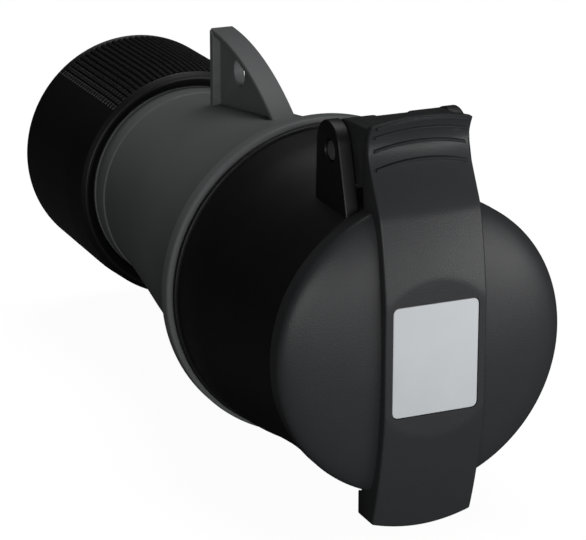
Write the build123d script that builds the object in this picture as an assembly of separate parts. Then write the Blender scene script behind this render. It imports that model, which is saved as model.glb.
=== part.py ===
from build123d import *
import os
from math import sqrt

# Industrial cable coupler for a plug with three phases and earth, with a sprung lid.
# Millimetres. The origin is the centre of the insulating face that the plug meets.
# +X runs out of that face along the axis, and +Z is up, through the hanging eye.

# Plug interface
PIN_CIRCLE_R = 16.5
PHASE_PIN_R = 3.0
EARTH_PIN_R = 4.0
PIN_ROOM = 0.05
ENTRY_ROOM = 0.9
ENTRY_FUNNEL = 0.8
EARTH_HOUR = 7
PHASE_HOURS = (10, 1, 4)
CARRIER_R = 28.75
SHROUD_ROOM = 3.85
SHROUD_DEPTH = 38.0
RIM_LEAD = 6.0

# Fits shared by the pieces
SLIP = 0.15
SEAT_GAP = 0.05
RUNNING_GAP = 0.3

# Front housing
RIM_WALL = 2.6
PARTITION = 4.0
BEAD_SET_BACK = 2.0
BEAD_R = 39.4
BEAD_LENGTH = 1.5
BEAD_ROUND = 0.4
SHADOW_GROOVE = 0.6
SHADOW_GROOVE_DEPTH = 1.0
DRUM_START_R = 38.6
DRUM_MIDDLE = (0.42, 0.56)
SPIGOT_R = 33.6
SPIGOT_WALL = 2.8
SPIGOT_LENGTH = 14.5
KEYWAY_WIDTH = 7.0
KEYWAY_DEPTH = 2.0
KEYWAY_WALL = 1.6
SEAL_GROOVE_WIDTH = 2.6
SEAL_GROOVE_DEPTH = 1.5

# Rear housing
FLANGE_R = 40.5
FLANGE_LENGTH = 4.0
FLANGE_ROUND = 1.2
REAR_WALL = 3.0
BODY_START_R = 26.7
BODY_END_R = 39.3
BODY_MIDDLES = ((0.24, 0.15), (0.54, 0.42), (0.78, 0.64))
COLLAR_X = -133.5
COLLAR_R = 27.4
COLLAR_LIP = 1.2
COLLAR_GROOVE = 0.8
COLLAR_GROOVE_DEPTH = 0.7
COLLAR_BAND = 2.0
COLLAR_BAND_R = 27.2
THREAD_R = 26.0
THREAD_LENGTH = 26.5
GLAND_BORE_R = 21.5
GLAND_SHOULDER_R = 18.0
GLAND_SHOULDER = 4.0
EYE_X = -92.5
EYE_Z = 40.6
EYE_R = 3.5
EYE_THICK = 6.4
EYE_REAR_X = -107.5
EYE_TOP_Z = 49.2
EYE_FRONT_X = -66.0
EYE_FRONT_Z = 34.0
EYE_BULGE = 3.3
EYE_RIB = 2.2
EYE_RIB_PROUD = 0.3

# Gland
NUT_R = 32.2
NUT_LENGTH = 46.0
NUT_OVERHANG = 2.5
NUT_FACE_DISH = 3.4
NUT_FACE_ROOM = 0.9
NUT_REAR_WALL = 5.5
NUT_ROUND = 1.6
NUT_CHAMFER = 1.2
KNURL_DEPTH = 0.9
KNURL_MARGIN = 2.0
KNURL_RINGS = 6
KNURL_RIBS = 12
KNURL_ANGLE = 86.0
KNURL_GROOVE = 0.9
CABLE_HOLE_R = 17.0
CABLE_R = 9.0
SEAL_REAR_SET = 2.0
SEAL_LENGTH = 18.0
SEAL_RINGS = 3
SEAL_RING_WIDTH = 1.0
SEAL_RING_DEPTH = 2.5
THRUST_THICK = 2.0
THRUST_R = 24.0
THRUST_HOLE_ROOM = 1.0
CLAMP_BASE = 3.0
CLAMP_FINGERS = 12
CLAMP_SLOT = 1.2
CLAMP_R = 12.0
CLAMP_WALL = 2.6

# Contacts and their carrier
SLEEVE_WALL = 1.5
SLEEVE_SET_BACK = 3.0
SLEEVE_DEPTH = 36.0
SLOT_WIDTH = 0.8
SLOT_LENGTH = 20.0
SLEEVE_CUTS = 2
SPRING_WIRE_R = 0.45
SPRING_OPENING = 50.0
SPRING_SET_BACK = 5.0
FINGER_ROOM = 0.7
CONTACT_COLLAR = 4.0
CONTACT_COLLAR_STEP = 0.9
TERMINAL_WALL = 2.8
TERMINAL_LENGTH = 18.0
WIRE_HOLE_R = 2.6
WIRE_HOLE_DEPTH = 14.0
CARRIER_FLANGE = 4.0
CARRIER_BACK = 6.0
RETAINER_WIDTH = 3.6
RETAINER_THICK = 3.0
TERMINAL_SCREW_R = 2.0
TERMINAL_SCREW_LENGTH = 5.2
TERMINAL_SCREW_SET = 7.0
DRIVE_SLOT = 0.8
CARRIER_SCREW_R = 1.5
CARRIER_SCREW_HEAD_R = 2.7
CARRIER_SCREW_HEAD = 2.0
CARRIER_SCREW_CIRCLE_R = 24.0
CARRIER_SCREW_HOURS = (2.5, 8.5)
CARRIER_SCREW_BITE = 9.0

# Lid, hinge and label
LID_R = 35.8
LID_SKIRT = 3.7
LID_DEPTH = 6.9
LID_WALL = 2.5
LID_LIP = 1.5
GASKET_WIDTH = 2.8
GASKET_THICK = 2.2
STRAP_HALF = 12.6
STRAP_APEX_X = 20.4
STRAP_R = 92.0
STRAP_CROWN_R = 104.0
STRAP_LOW_Z = -43.2
STRAP_TOP_Z = 54.7
STRAP_ARC_END_Z = 33.0
LEVER_WAIST_X = 8.3
LEVER_WAIST_Z = 46.5
LEVER_TIP_X = 10.8
LEVER_THICK = 2.8
END_ARC_RISE = 2.0
TAB_SET_BACK = 1.4
TAB_ROOM = 0.9
FACET_X = 18.45
LABEL_WIDTH = 21.4
LABEL_HEIGHT = 25.5
LABEL_THICK = 0.5
LABEL_RECESS = 0.6
LABEL_ROUND = 1.6
LEVER_TIP_SLOPE = (0.45, 1)
GRIP_RIB = 0.7
GRIP_PROUD = 0.4
GRIP_MARGIN = 1.4
GRIP_LINES_Z = (52.0, 48.9, 44.9)
HINGE_X = -3.8
HINGE_Z = 44.5
PIN_R = 2.0
PIN_BORE_ROOM = 0.05
PIN_HEAD_R = 2.5
PIN_HEAD = 1.0
PIN_HEAD_SUNK = 0.6
BARREL_R = 6.8
KNUCKLE_ROOM = 0.2
KNUCKLE_ROOF = 2.6
CHEEK_THICK = 2.6
EAR_R = 6.2
EAR_THICK = 3.4
EAR_ROOM = 0.35
EAR_ROOT = 0.8
EAR_FRONT_X = 4.3
EAR_REAR_X = -11.5
SPRING_COILS = 4.25
SPRING_R = 0.5
SPRING_ROOM = 0.4
SPRING_SIDE_ROOM = 0.6
SPRING_COIL_GAP = 0.6
SPRING_ARM = 7.6
SPRING_HOOK = 1.6
SPRING_LEG = 8.9
CLIP_R = 3.6
CLIP_THICK = 0.8

# Stations and radii worked out from the sizes above
RIM_X = RIM_LEAD
BORE_R = CARRIER_R + SHROUD_ROOM
RIM_R = BORE_R + RIM_WALL
PARTITION_FRONT_X = -SHROUD_DEPTH
PARTITION_REAR_X = PARTITION_FRONT_X - PARTITION
JOINT_X = PARTITION_REAR_X - BEAD_SET_BACK
BEAD_REAR_X = JOINT_X + SHADOW_GROOVE
BEAD_FRONT_X = BEAD_REAR_X + BEAD_LENGTH
SPIGOT_REAR_X = JOINT_X - SPIGOT_LENGTH
SPIGOT_BORE_R = SPIGOT_R - SPIGOT_WALL
MOUTH_R = SPIGOT_R + SLIP
SEAL_GROOVE_X = JOINT_X - SPIGOT_LENGTH / 2
KEYWAY_R = BORE_R + KEYWAY_DEPTH
KEYWAY_BULGE_R = KEYWAY_R + KEYWAY_WALL
FLANGE_REAR_X = JOINT_X - FLANGE_LENGTH
THREAD_REAR_X = COLLAR_X - THREAD_LENGTH
BODY_START_X = COLLAR_X + COLLAR_LIP + COLLAR_GROOVE + COLLAR_BAND
NUT_FRONT_X = COLLAR_X + NUT_OVERHANG
NUT_REAR_X = NUT_FRONT_X - NUT_LENGTH
NUT_SEAT_X = NUT_REAR_X + NUT_REAR_WALL
NUT_BORE_R = THREAD_R + RUNNING_GAP
THRUST_REAR_X = NUT_SEAT_X + RUNNING_GAP
THRUST_FRONT_X = THRUST_REAR_X + THRUST_THICK
CLAMP_TIP_X = THRUST_FRONT_X + RUNNING_GAP
SEAL_REAR_X = THREAD_REAR_X + SEAL_REAR_SET
SEAL_FRONT_X = SEAL_REAR_X + SEAL_LENGTH
LID_X = RIM_X + RUNNING_GAP
DOME_X = LID_X + LID_SKIRT
GASKET_R = LID_R - LID_LIP
HOLLOW_R = GASKET_R - GASKET_WIDTH
TAB_REAR_X = RIM_X - TAB_SET_BACK
KNUCKLE_HALF = STRAP_HALF - KNUCKLE_ROOM
EAR_INNER_Y = STRAP_HALF + EAR_ROOM
EAR_OUTER_Y = EAR_INNER_Y + EAR_THICK
SPRING_MEAN_R = PIN_R + SPRING_ROOM + SPRING_R
SPRING_PITCH = 2 * SPRING_R + SPRING_COIL_GAP
SPRING_HALF = SPRING_COILS * SPRING_PITCH / 2
SPRING_POCKET_HALF = SPRING_HALF + SPRING_R + SPRING_SIDE_ROOM
CARRIER_FLANGE_R = SPIGOT_BORE_R - SLIP
CARRIER_REAR_X = PARTITION_REAR_X - CARRIER_FLANGE
BACK_REAR_X = CARRIER_REAR_X - CARRIER_BACK
TERMINAL_REAR_X = BACK_REAR_X - TERMINAL_LENGTH
SLEEVE_FRONT_X = -SLEEVE_SET_BACK - SEAT_GAP
CONTACT_STEP_X = CARRIER_REAR_X + CONTACT_COLLAR
SPRING_GROOVE_X = SLEEVE_FRONT_X - SPRING_SET_BACK


def curve_face(*curves):
    """A flat face inside joined curves."""
    return make_face(Curve() + list(curves))


def turned(points):
    """A solid turned about the X axis from a closed outline of (x, radius) points."""
    return revolve(make_face(Polyline(*points, close=True)), Axis.X)


def ring(x_low, x_high, r_inner, r_outer):
    """A plain ring about the X axis."""
    return turned([(x_low, r_inner), (x_high, r_inner), (x_high, r_outer), (x_low, r_outer)])


def rod(x_low, x_high, radius):
    """A round bar along the X axis."""
    bar = Cylinder(radius, x_high - x_low, align=(Align.CENTER, Align.CENTER, Align.MIN))
    return Location((x_low, 0, 0), (0, 90, 0)) * bar


def cross_bar(y_low, y_high, radius):
    """A round bar along the hinge's axis."""
    bar = Cylinder(radius, y_high - y_low, align=(Align.CENTER, Align.CENTER, Align.MIN))
    return Location((HINGE_X, y_high, HINGE_Z), (90, 0, 0)) * bar


def plate(sketch, y_low, y_high):
    """A sketch in X and Z, given a thickness between two values of Y."""
    return extrude(Plane.XZ.offset(-y_high) * sketch, amount=y_high - y_low)


def block(x_low, x_high, y_half, z_low, z_high):
    """A box that is centred on Y."""
    centre = ((x_low + x_high) / 2, 0, (z_low + z_high) / 2)
    return Location(centre) * Box(x_high - x_low, 2 * y_half, z_high - z_low)


def at_hour(solid, hour, radius):
    """A piece made on the X axis, moved out along Z and turned to its clock hour."""
    return Rotation(-30 * hour, 0, 0) * Location((0, 0, radius)) * solid


def between(start, end, shares):
    """A point at a share of the way in x and a share of the way in radius."""
    return (start[0] + (end[0] - start[0]) * shares[0], start[1] + (end[1] - start[1]) * shares[1])


def round_edges(solid, radius):
    """A solid's round edges of one radius."""
    return [e for e in solid.edges().filter_by(GeomType.CIRCLE) if abs(e.radius - radius) < 0.001]


# Front housing: spigot, bead, drum, room for the plug's shroud, keyway and hinge ears

def ear_sketch():
    """One hinge ear, from its round top down into the drum's wall."""
    root_z = sqrt((BORE_R + EAR_ROOT) ** 2 - EAR_INNER_Y ** 2)
    top = Location((HINGE_X, HINGE_Z)) * Circle(EAR_R)
    foot = Line((EAR_REAR_X, root_z), (EAR_FRONT_X, root_z))
    return make_hull(top.edges() + foot.edges())


def keyway_bulge():
    """The thicker wall under the drum that holds the keyway."""
    half = KEYWAY_WIDTH / 2 + KEYWAY_WALL
    skin = rod(BEAD_FRONT_X, RIM_X, KEYWAY_BULGE_R) - rod(BEAD_FRONT_X, RIM_X, BORE_R + RIM_WALL / 2)
    return skin & block(BEAD_FRONT_X, RIM_X, half, -KEYWAY_BULGE_R, 0)


def front_housing():
    drum_start = (BEAD_FRONT_X, DRUM_START_R)
    drum_end = (RIM_X, RIM_R)
    level = (1, 0)
    drum = Spline(drum_start, between(drum_start, drum_end, DRUM_MIDDLE), drum_end, tangents=(level, level))
    groove_low = SEAL_GROOVE_X - SEAL_GROOVE_WIDTH / 2
    groove_high = SEAL_GROOVE_X + SEAL_GROOVE_WIDTH / 2
    rest = Polyline(
        drum_end,
        (RIM_X, BORE_R),
        (PARTITION_FRONT_X, BORE_R),
        (PARTITION_FRONT_X, CARRIER_R + SLIP),
        (PARTITION_REAR_X, CARRIER_R + SLIP),
        (PARTITION_REAR_X, SPIGOT_BORE_R),
        (SPIGOT_REAR_X, SPIGOT_BORE_R),
        (SPIGOT_REAR_X, SPIGOT_R),
        (groove_low, SPIGOT_R),
        (groove_low, SPIGOT_R - SEAL_GROOVE_DEPTH),
        (groove_high, SPIGOT_R - SEAL_GROOVE_DEPTH),
        (groove_high, SPIGOT_R),
        (JOINT_X, SPIGOT_R),
        (JOINT_X, BEAD_R - SHADOW_GROOVE_DEPTH),
        (BEAD_REAR_X, BEAD_R - SHADOW_GROOVE_DEPTH),
        (BEAD_REAR_X, BEAD_R - BEAD_ROUND),
        (BEAD_REAR_X + BEAD_ROUND, BEAD_R),
        (BEAD_FRONT_X - BEAD_ROUND, BEAD_R),
        (BEAD_FRONT_X, BEAD_R - BEAD_ROUND),
        drum_start,
    )
    body = revolve(curve_face(drum, rest), Axis.X)
    body += keyway_bulge()
    keyway = block(PARTITION_FRONT_X, RIM_X, KEYWAY_WIDTH / 2, -KEYWAY_R, -BORE_R / 2)
    body -= keyway - rod(PARTITION_FRONT_X, RIM_X, CARRIER_R)
    for low, high in ((EAR_INNER_Y, EAR_OUTER_Y), (-EAR_OUTER_Y, -EAR_INNER_Y)):
        body += plate(ear_sketch(), low, high)
    body -= cross_bar(-EAR_OUTER_Y, EAR_OUTER_Y, PIN_R)
    body -= cross_bar(-EAR_OUTER_Y, PIN_HEAD_SUNK - EAR_OUTER_Y, PIN_HEAD_R + SLIP)
    return body


def housing_seal():
    """Ring seal in the spigot's groove, against the rear housing's mouth."""
    low = SPIGOT_R - SEAL_GROOVE_DEPTH
    section = Location((SEAL_GROOVE_X, (low + MOUTH_R) / 2)) * Circle((MOUTH_R - low) / 2)
    return revolve(section, Axis.X)


# Contact carrier, its back and ring, the contacts and their screws

def contact_list():
    """Each contact's name, pin radius and clock hour."""
    phases = [(f"phase_contact_{i}", PHASE_PIN_R, hour) for i, hour in enumerate(PHASE_HOURS, start=1)]
    return phases + [("earth_contact", EARTH_PIN_R, EARTH_HOUR)]


def sleeve_r(pin_r):
    """A contact sleeve's outer radius."""
    return pin_r + PIN_ROOM + SLEEVE_WALL


def terminal_r(pin_r):
    """A contact terminal's outer radius."""
    return pin_r + TERMINAL_WALL


def contact_collar_r(pin_r):
    """The outer radius of the collar that holds a contact in its pocket."""
    return terminal_r(pin_r) + CONTACT_COLLAR_STEP


def carrier_screw_holes(solid, x_low, x_high, radius):
    """A solid with a hole at each carrier screw."""
    for hour in CARRIER_SCREW_HOURS:
        solid -= at_hour(rod(x_low, x_high, radius), hour, CARRIER_SCREW_CIRCLE_R)
    return solid


def carrier_face():
    """The insulating face with a funnelled entry in front of each contact."""
    face = rod(-SLEEVE_SET_BACK, 0, CARRIER_R)
    for _, pin_r, hour in contact_list():
        entry_r = pin_r + ENTRY_ROOM
        entry = turned([
            (-SLEEVE_SET_BACK, 0),
            (-SLEEVE_SET_BACK, entry_r),
            (-ENTRY_FUNNEL, entry_r),
            (0, entry_r + ENTRY_FUNNEL),
            (0, 0),
        ])
        face -= at_hour(entry, hour, PIN_CIRCLE_R)
    return face


def contact_carrier():
    """The body behind the face, with a stepped pocket for each contact."""
    carrier = rod(CARRIER_REAR_X, -SLEEVE_SET_BACK, CARRIER_R)
    carrier += rod(CARRIER_REAR_X, PARTITION_REAR_X, CARRIER_FLANGE_R)
    for _, pin_r, hour in contact_list():
        collar_r = contact_collar_r(pin_r) + SEAT_GAP
        pocket = rod(CARRIER_REAR_X, CONTACT_STEP_X, collar_r)
        pocket += rod(CONTACT_STEP_X, -SLEEVE_SET_BACK, sleeve_r(pin_r) + FINGER_ROOM)
        carrier -= at_hour(pocket, hour, PIN_CIRCLE_R)
    tip_x = CARRIER_REAR_X + CARRIER_SCREW_BITE
    return carrier_screw_holes(carrier, CARRIER_REAR_X, tip_x, CARRIER_SCREW_R)


def carrier_back():
    """Plate that closes the carrier's pockets behind the contacts' collars."""
    back = rod(BACK_REAR_X, CARRIER_REAR_X, CARRIER_FLANGE_R)
    for _, pin_r, hour in contact_list():
        back -= at_hour(rod(BACK_REAR_X, CARRIER_REAR_X, terminal_r(pin_r) + SEAT_GAP), hour, PIN_CIRCLE_R)
    return carrier_screw_holes(back, BACK_REAR_X, CARRIER_REAR_X, CARRIER_SCREW_R + SLIP)


def carrier_ring():
    """Press ring in the spigot that holds the carrier against the partition."""
    return ring(BACK_REAR_X - RETAINER_THICK, BACK_REAR_X, SPIGOT_BORE_R - RETAINER_WIDTH, SPIGOT_BORE_R)


def carrier_screws():
    """Two pan-headed screws, with a drive slot, through the back into the carrier."""
    tip_x = CARRIER_REAR_X + CARRIER_SCREW_BITE
    screw = rod(BACK_REAR_X, tip_x, CARRIER_SCREW_R)
    screw += rod(BACK_REAR_X - CARRIER_SCREW_HEAD, BACK_REAR_X, CARRIER_SCREW_HEAD_R)
    head_x = BACK_REAR_X - CARRIER_SCREW_HEAD
    screw -= block(head_x, head_x + DRIVE_SLOT, CARRIER_SCREW_HEAD_R, -DRIVE_SLOT / 2, DRIVE_SLOT / 2)
    return [at_hour(screw, hour, CARRIER_SCREW_CIRCLE_R) for hour in CARRIER_SCREW_HOURS]


def contact(pin_r, hour):
    """A turned sleeve, slotted at its front, with a collar and a wire terminal at its back."""
    outside = sleeve_r(pin_r)
    body = rod(CARRIER_REAR_X, SLEEVE_FRONT_X, outside)
    body += rod(CARRIER_REAR_X, CONTACT_STEP_X, contact_collar_r(pin_r))
    body += rod(TERMINAL_REAR_X, CARRIER_REAR_X, terminal_r(pin_r))
    body -= rod(SLEEVE_FRONT_X - SLEEVE_DEPTH, SLEEVE_FRONT_X, pin_r + PIN_ROOM)
    body -= rod(TERMINAL_REAR_X, TERMINAL_REAR_X + WIRE_HOLE_DEPTH, WIRE_HOLE_R)
    cut = block(SLEEVE_FRONT_X - SLOT_LENGTH, SLEEVE_FRONT_X, outside, -SLOT_WIDTH / 2, SLOT_WIDTH / 2)
    for turn in range(SLEEVE_CUTS):
        body -= Rotation(180 * turn / SLEEVE_CUTS, 0, 0) * cut
    low, high = SPRING_GROOVE_X - SPRING_WIRE_R, SPRING_GROOVE_X + SPRING_WIRE_R
    body -= ring(low, high, outside - SPRING_WIRE_R, outside + SPRING_WIRE_R)
    screw_hole = Cylinder(TERMINAL_SCREW_R, terminal_r(pin_r), align=(Align.CENTER, Align.CENTER, Align.MIN))
    body -= Location((TERMINAL_REAR_X + TERMINAL_SCREW_SET, 0, 0)) * screw_hole
    return at_hour(body, hour, PIN_CIRCLE_R)


def contact_spring(pin_r, hour):
    """An open steel ring that keeps a sleeve's fingers closed."""
    section = Location((SPRING_GROOVE_X, sleeve_r(pin_r))) * Circle(SPRING_WIRE_R - SEAT_GAP)
    loop = revolve(section, Axis.X, revolution_arc=360 - SPRING_OPENING)
    return at_hour(loop, hour, PIN_CIRCLE_R)


def terminal_screws():
    """One headless slotted screw in each terminal, with its tip at the wire hole."""
    screws = []
    for _, pin_r, hour in contact_list():
        shank = Cylinder(
            TERMINAL_SCREW_R - SEAT_GAP, TERMINAL_SCREW_LENGTH, align=(Align.CENTER, Align.CENTER, Align.MIN)
        )
        slot = Box(2 * TERMINAL_SCREW_R, DRIVE_SLOT, DRIVE_SLOT, align=(Align.CENTER, Align.CENTER, Align.MAX))
        screw = shank - Location((0, 0, TERMINAL_SCREW_LENGTH)) * slot
        placed = Location((TERMINAL_REAR_X + TERMINAL_SCREW_SET, 0, WIRE_HOLE_R)) * screw
        screws.append(at_hour(placed, hour, PIN_CIRCLE_R))
    return screws


# Rear housing: thread, collar, flared body, flange and hanging eye

def body_curve():
    """The flared outline between the collar and the flange."""
    start = (BODY_START_X, BODY_START_R)
    end = (FLANGE_REAR_X, BODY_END_R)
    return Spline(start, *[between(start, end, shares) for shares in BODY_MIDDLES], end)


def eye_fin():
    """The fin with its hanging hole, thicker along its rear edge, down to the body's surface."""
    rear_top = (EYE_REAR_X, EYE_TOP_Z)
    front_low = (EYE_FRONT_X, EYE_FRONT_Z)
    foot_z = BODY_START_R
    edge = SagittaArc(front_low, rear_top, -EYE_BULGE)
    rest = Polyline(rear_top, (EYE_REAR_X, foot_z), (EYE_FRONT_X, foot_z), front_low)
    fin = plate(curve_face(edge, rest), -EYE_THICK / 2, EYE_THICK / 2)
    rib_half = EYE_THICK / 2 + EYE_RIB_PROUD
    fin += block(EYE_REAR_X, EYE_REAR_X + EYE_RIB, rib_half, foot_z, EYE_TOP_Z - EYE_RIB_PROUD)
    fin -= Location((EYE_X, 0, EYE_Z), (90, 0, 0)) * Cylinder(EYE_R, 4 * EYE_THICK)
    curve = body_curve()
    axis_ends = Polyline(curve @ 1, (FLANGE_REAR_X, 0), (BODY_START_X, 0), curve @ 0)
    return fin - revolve(curve_face(curve, axis_ends), Axis.X)


def rear_housing():
    curve = body_curve()
    lip_x = COLLAR_X + COLLAR_LIP
    band_x = lip_x + COLLAR_GROOVE
    floor_r = COLLAR_R - COLLAR_GROOVE_DEPTH
    cavity_start = (BODY_START_X + REAR_WALL, BODY_START_R - REAR_WALL)
    cavity_end = (SPIGOT_REAR_X - SLIP, SPIGOT_BORE_R)
    shoulder_x = SEAL_FRONT_X + GLAND_SHOULDER
    rest = Polyline(
        curve @ 1,
        (FLANGE_REAR_X, FLANGE_R),
        (JOINT_X, FLANGE_R),
        (JOINT_X, MOUTH_R),
        (SPIGOT_REAR_X - SLIP, MOUTH_R),
        cavity_end,
        between(cavity_start, cavity_end, (0.5, 0.42)),
        cavity_start,
        (shoulder_x, GLAND_SHOULDER_R),
        (SEAL_FRONT_X, GLAND_SHOULDER_R),
        (SEAL_FRONT_X, GLAND_BORE_R),
        (THREAD_REAR_X, GLAND_BORE_R),
        (THREAD_REAR_X, THREAD_R),
        (COLLAR_X, THREAD_R),
        (COLLAR_X, COLLAR_R),
        (lip_x, COLLAR_R),
        (lip_x, floor_r),
        (band_x, floor_r),
        (band_x, COLLAR_BAND_R),
        (BODY_START_X, COLLAR_BAND_R),
        curve @ 0,
    )
    shell = revolve(curve_face(curve, rest), Axis.X)
    narrowest = min(FLANGE_R - MOUTH_R, 2 * (FLANGE_R - BODY_END_R))
    return fillet(round_edges(shell, FLANGE_R), min(FLANGE_ROUND, narrowest / 3))


# Gland: knurled nut, thrust ring, fingered clamp and ringed seal

def knurl_cuts():
    """The grooves, round and along, that leave one field of raised pads."""
    low = NUT_REAR_X + KNURL_MARGIN
    high = NUT_FRONT_X - KNURL_MARGIN
    root = NUT_R - KNURL_DEPTH
    top = NUT_R + KNURL_DEPTH
    step = (high - low) / KNURL_RINGS
    comb = [(high + KNURL_GROOVE, top + 1), (low - KNURL_GROOVE, top + 1)]
    for row in range(KNURL_RINGS + 1):
        x = low + row * step
        comb += [(x - KNURL_GROOVE, top), (x, root), (x + KNURL_GROOVE, top)]
    face = make_face(Polyline(*comb, close=True))
    rounds = revolve(face, Axis.X, revolution_arc=KNURL_ANGLE)
    groove = block(low, high, KNURL_GROOVE / 2, root, top)
    turns = [KNURL_ANGLE * (rib / KNURL_RIBS - 0.5) for rib in range(KNURL_RIBS + 1)]
    return [Rotation(90 - KNURL_ANGLE / 2, 0, 0) * rounds] + [Rotation(turn, 0, 0) * groove for turn in turns]


def gland_nut():
    face_r = COLLAR_R + NUT_FACE_ROOM
    dish_x = NUT_FRONT_X - NUT_FACE_DISH
    nut = turned([
        (NUT_REAR_X, CABLE_HOLE_R),
        (NUT_REAR_X, NUT_R),
        (NUT_FRONT_X - NUT_CHAMFER, NUT_R),
        (NUT_FRONT_X, NUT_R - NUT_CHAMFER),
        (dish_x, face_r),
        (dish_x, NUT_BORE_R),
        (NUT_SEAT_X, NUT_BORE_R),
        (NUT_SEAT_X, CABLE_HOLE_R),
    ])
    rear_edges = [e for e in round_edges(nut, NUT_R) if e.center().X < NUT_REAR_X + NUT_ROUND]
    nut = fillet(rear_edges, NUT_ROUND)
    for middle in (0, 180):
        nut -= [Rotation(middle, 0, 0) * tool for tool in knurl_cuts()]
    return nut


def thrust_ring():
    """Ring between the nut's rear wall and the clamp, pushed by the nut without turning."""
    return ring(THRUST_REAR_X, THRUST_FRONT_X, CLAMP_R + THRUST_HOLE_ROOM, THRUST_R)


def cable_clamp():
    """A cage with fingers that lean in towards the cable."""
    base_front_x = SEAL_REAR_X
    base_rear_x = base_front_x - CLAMP_BASE
    outer = GLAND_BORE_R - SLIP
    cage = turned([
        (base_front_x, outer - CLAMP_WALL - SLIP),
        (base_front_x, outer),
        (base_rear_x, outer),
        (CLAMP_TIP_X, CLAMP_R + CLAMP_WALL),
        (CLAMP_TIP_X, CLAMP_R),
        (base_rear_x, outer - CLAMP_WALL - SLIP),
    ])
    slot = block(CLAMP_TIP_X, base_rear_x, CLAMP_SLOT / 2, 0, outer)
    for finger in range(CLAMP_FINGERS):
        cage -= Rotation(360 * finger / CLAMP_FINGERS, 0, 0) * slot
    return cage


def cable_seal():
    """Rubber seal with ring grooves in its rear face, for cables of several sizes."""
    seal = ring(SEAL_REAR_X, SEAL_FRONT_X, CABLE_R, GLAND_BORE_R)
    pitch = (GLAND_BORE_R - CABLE_R) / (SEAL_RINGS + 1)
    for number in range(1, SEAL_RINGS + 1):
        radius = CABLE_R + number * pitch
        half = SEAL_RING_WIDTH / 2
        seal -= ring(SEAL_REAR_X, SEAL_REAR_X + SEAL_RING_DEPTH, radius - half, radius + half)
    return seal


# Lid: dome, strap with lever and tab, knuckle, label recess and grip lines

def strap_front_x(z):
    """The strap's front at a height, along its long arc."""
    return STRAP_APEX_X - STRAP_R + sqrt(STRAP_R ** 2 - z ** 2)


def lever_curve(proud):
    """The lever's front, from the long arc's end through the waist to the tip."""
    arc_end = (strap_front_x(STRAP_ARC_END_Z) + proud, STRAP_ARC_END_Z)
    waist = (LEVER_WAIST_X + proud, LEVER_WAIST_Z)
    tip = (LEVER_TIP_X + proud, STRAP_TOP_Z)
    slope = (-STRAP_ARC_END_Z / sqrt(STRAP_R ** 2 - STRAP_ARC_END_Z ** 2), 1)
    return Spline(arc_end, waist, tip, tangents=(slope, LEVER_TIP_SLOPE))


def strap_side():
    """The strap in X and Z: tab, long arc, waist and thumb lever."""
    low = (strap_front_x(STRAP_LOW_Z), STRAP_LOW_Z)
    arc_end = (strap_front_x(STRAP_ARC_END_Z), STRAP_ARC_END_Z)
    front = ThreePointArc(low, (STRAP_APEX_X, 0), arc_end)
    rest = Polyline(
        (LEVER_TIP_X, STRAP_TOP_Z),
        (LEVER_TIP_X - LEVER_THICK, STRAP_TOP_Z),
        (LEVER_WAIST_X - LEVER_THICK, LEVER_WAIST_Z),
        (LID_X, LEVER_WAIST_Z - 2 * LEVER_THICK),
        (LID_X, LID_R),
        (TAB_REAR_X, LID_R),
        (TAB_REAR_X, STRAP_LOW_Z),
        low,
    )
    return curve_face(front, lever_curve(0), rest)


def lever_skin():
    """A thin layer over the lever's front."""
    outer = lever_curve(GRIP_PROUD)
    inner = lever_curve(-GRIP_PROUD)
    return curve_face(outer, Line(outer @ 1, inner @ 1), inner, Line(inner @ 0, outer @ 0))


def crowned(side):
    """A side outline swept round a far upright axis, so that its front bulges a little across."""
    axis_x = STRAP_APEX_X - STRAP_CROWN_R
    sweep = 20
    face = Plane.XZ * side
    turned_face = revolve(face, Axis((axis_x, 0, 0), (0, 0, 1)), revolution_arc=sweep)
    shift = Location((axis_x, 0, 0)) * Rotation(0, 0, -sweep / 2) * Location((-axis_x, 0, 0))
    return shift * turned_face


def strap_window(half, low_z, top_z):
    """The strap seen from the front: straight sides, with its top and bottom edges arched."""
    left_low = (-half, low_z + END_ARC_RISE)
    right_low = (half, low_z + END_ARC_RISE)
    left_top = (-half, top_z - END_ARC_RISE)
    right_top = (half, top_z - END_ARC_RISE)
    face = curve_face(
        ThreePointArc(left_low, (0, low_z), right_low),
        Line(right_low, right_top),
        ThreePointArc(right_top, (0, top_z), left_top),
        Line(left_top, left_low),
    )
    return Location((-30, 0, 0)) * extrude(Plane.YZ * face, amount=80)


def arched_band(half, top_z, width):
    """A narrow band across the strap that arches like its top edge."""
    drop = END_ARC_RISE * (half / STRAP_HALF) ** 2
    upper = ThreePointArc((-half, top_z - drop), (0, top_z), (half, top_z - drop))
    low_z = top_z - width
    lower = ThreePointArc((half, low_z - drop), (0, low_z), (-half, low_z - drop))
    face = curve_face(upper, Line(upper @ 1, lower @ 0), lower, Line(lower @ 1, upper @ 0))
    return extrude(Plane.YZ * face, amount=2 * STRAP_APEX_X)


def dome():
    """The lid's round cap, solid for now."""
    cap = EllipticalCenterArc((DOME_X, 0), LID_DEPTH, LID_R, start_angle=0, arc_size=90)
    rest = Polyline((DOME_X, LID_R), (LID_X, LID_R), (LID_X, 0), (DOME_X + LID_DEPTH, 0))
    return revolve(curve_face(cap, rest), Axis.X)


def lid_hollow():
    """The room inside the cap, with the gasket's seat."""
    seat_x = LID_X + GASKET_THICK
    depth = DOME_X + LID_DEPTH - LID_WALL - seat_x
    roof = EllipticalCenterArc((seat_x, 0), depth, HOLLOW_R, start_angle=0, arc_size=90)
    rest = Polyline(
        (seat_x, HOLLOW_R), (seat_x, GASKET_R), (LID_X, GASKET_R), (LID_X, 0), (seat_x + depth, 0)
    )
    return revolve(curve_face(roof, rest), Axis.X)


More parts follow.
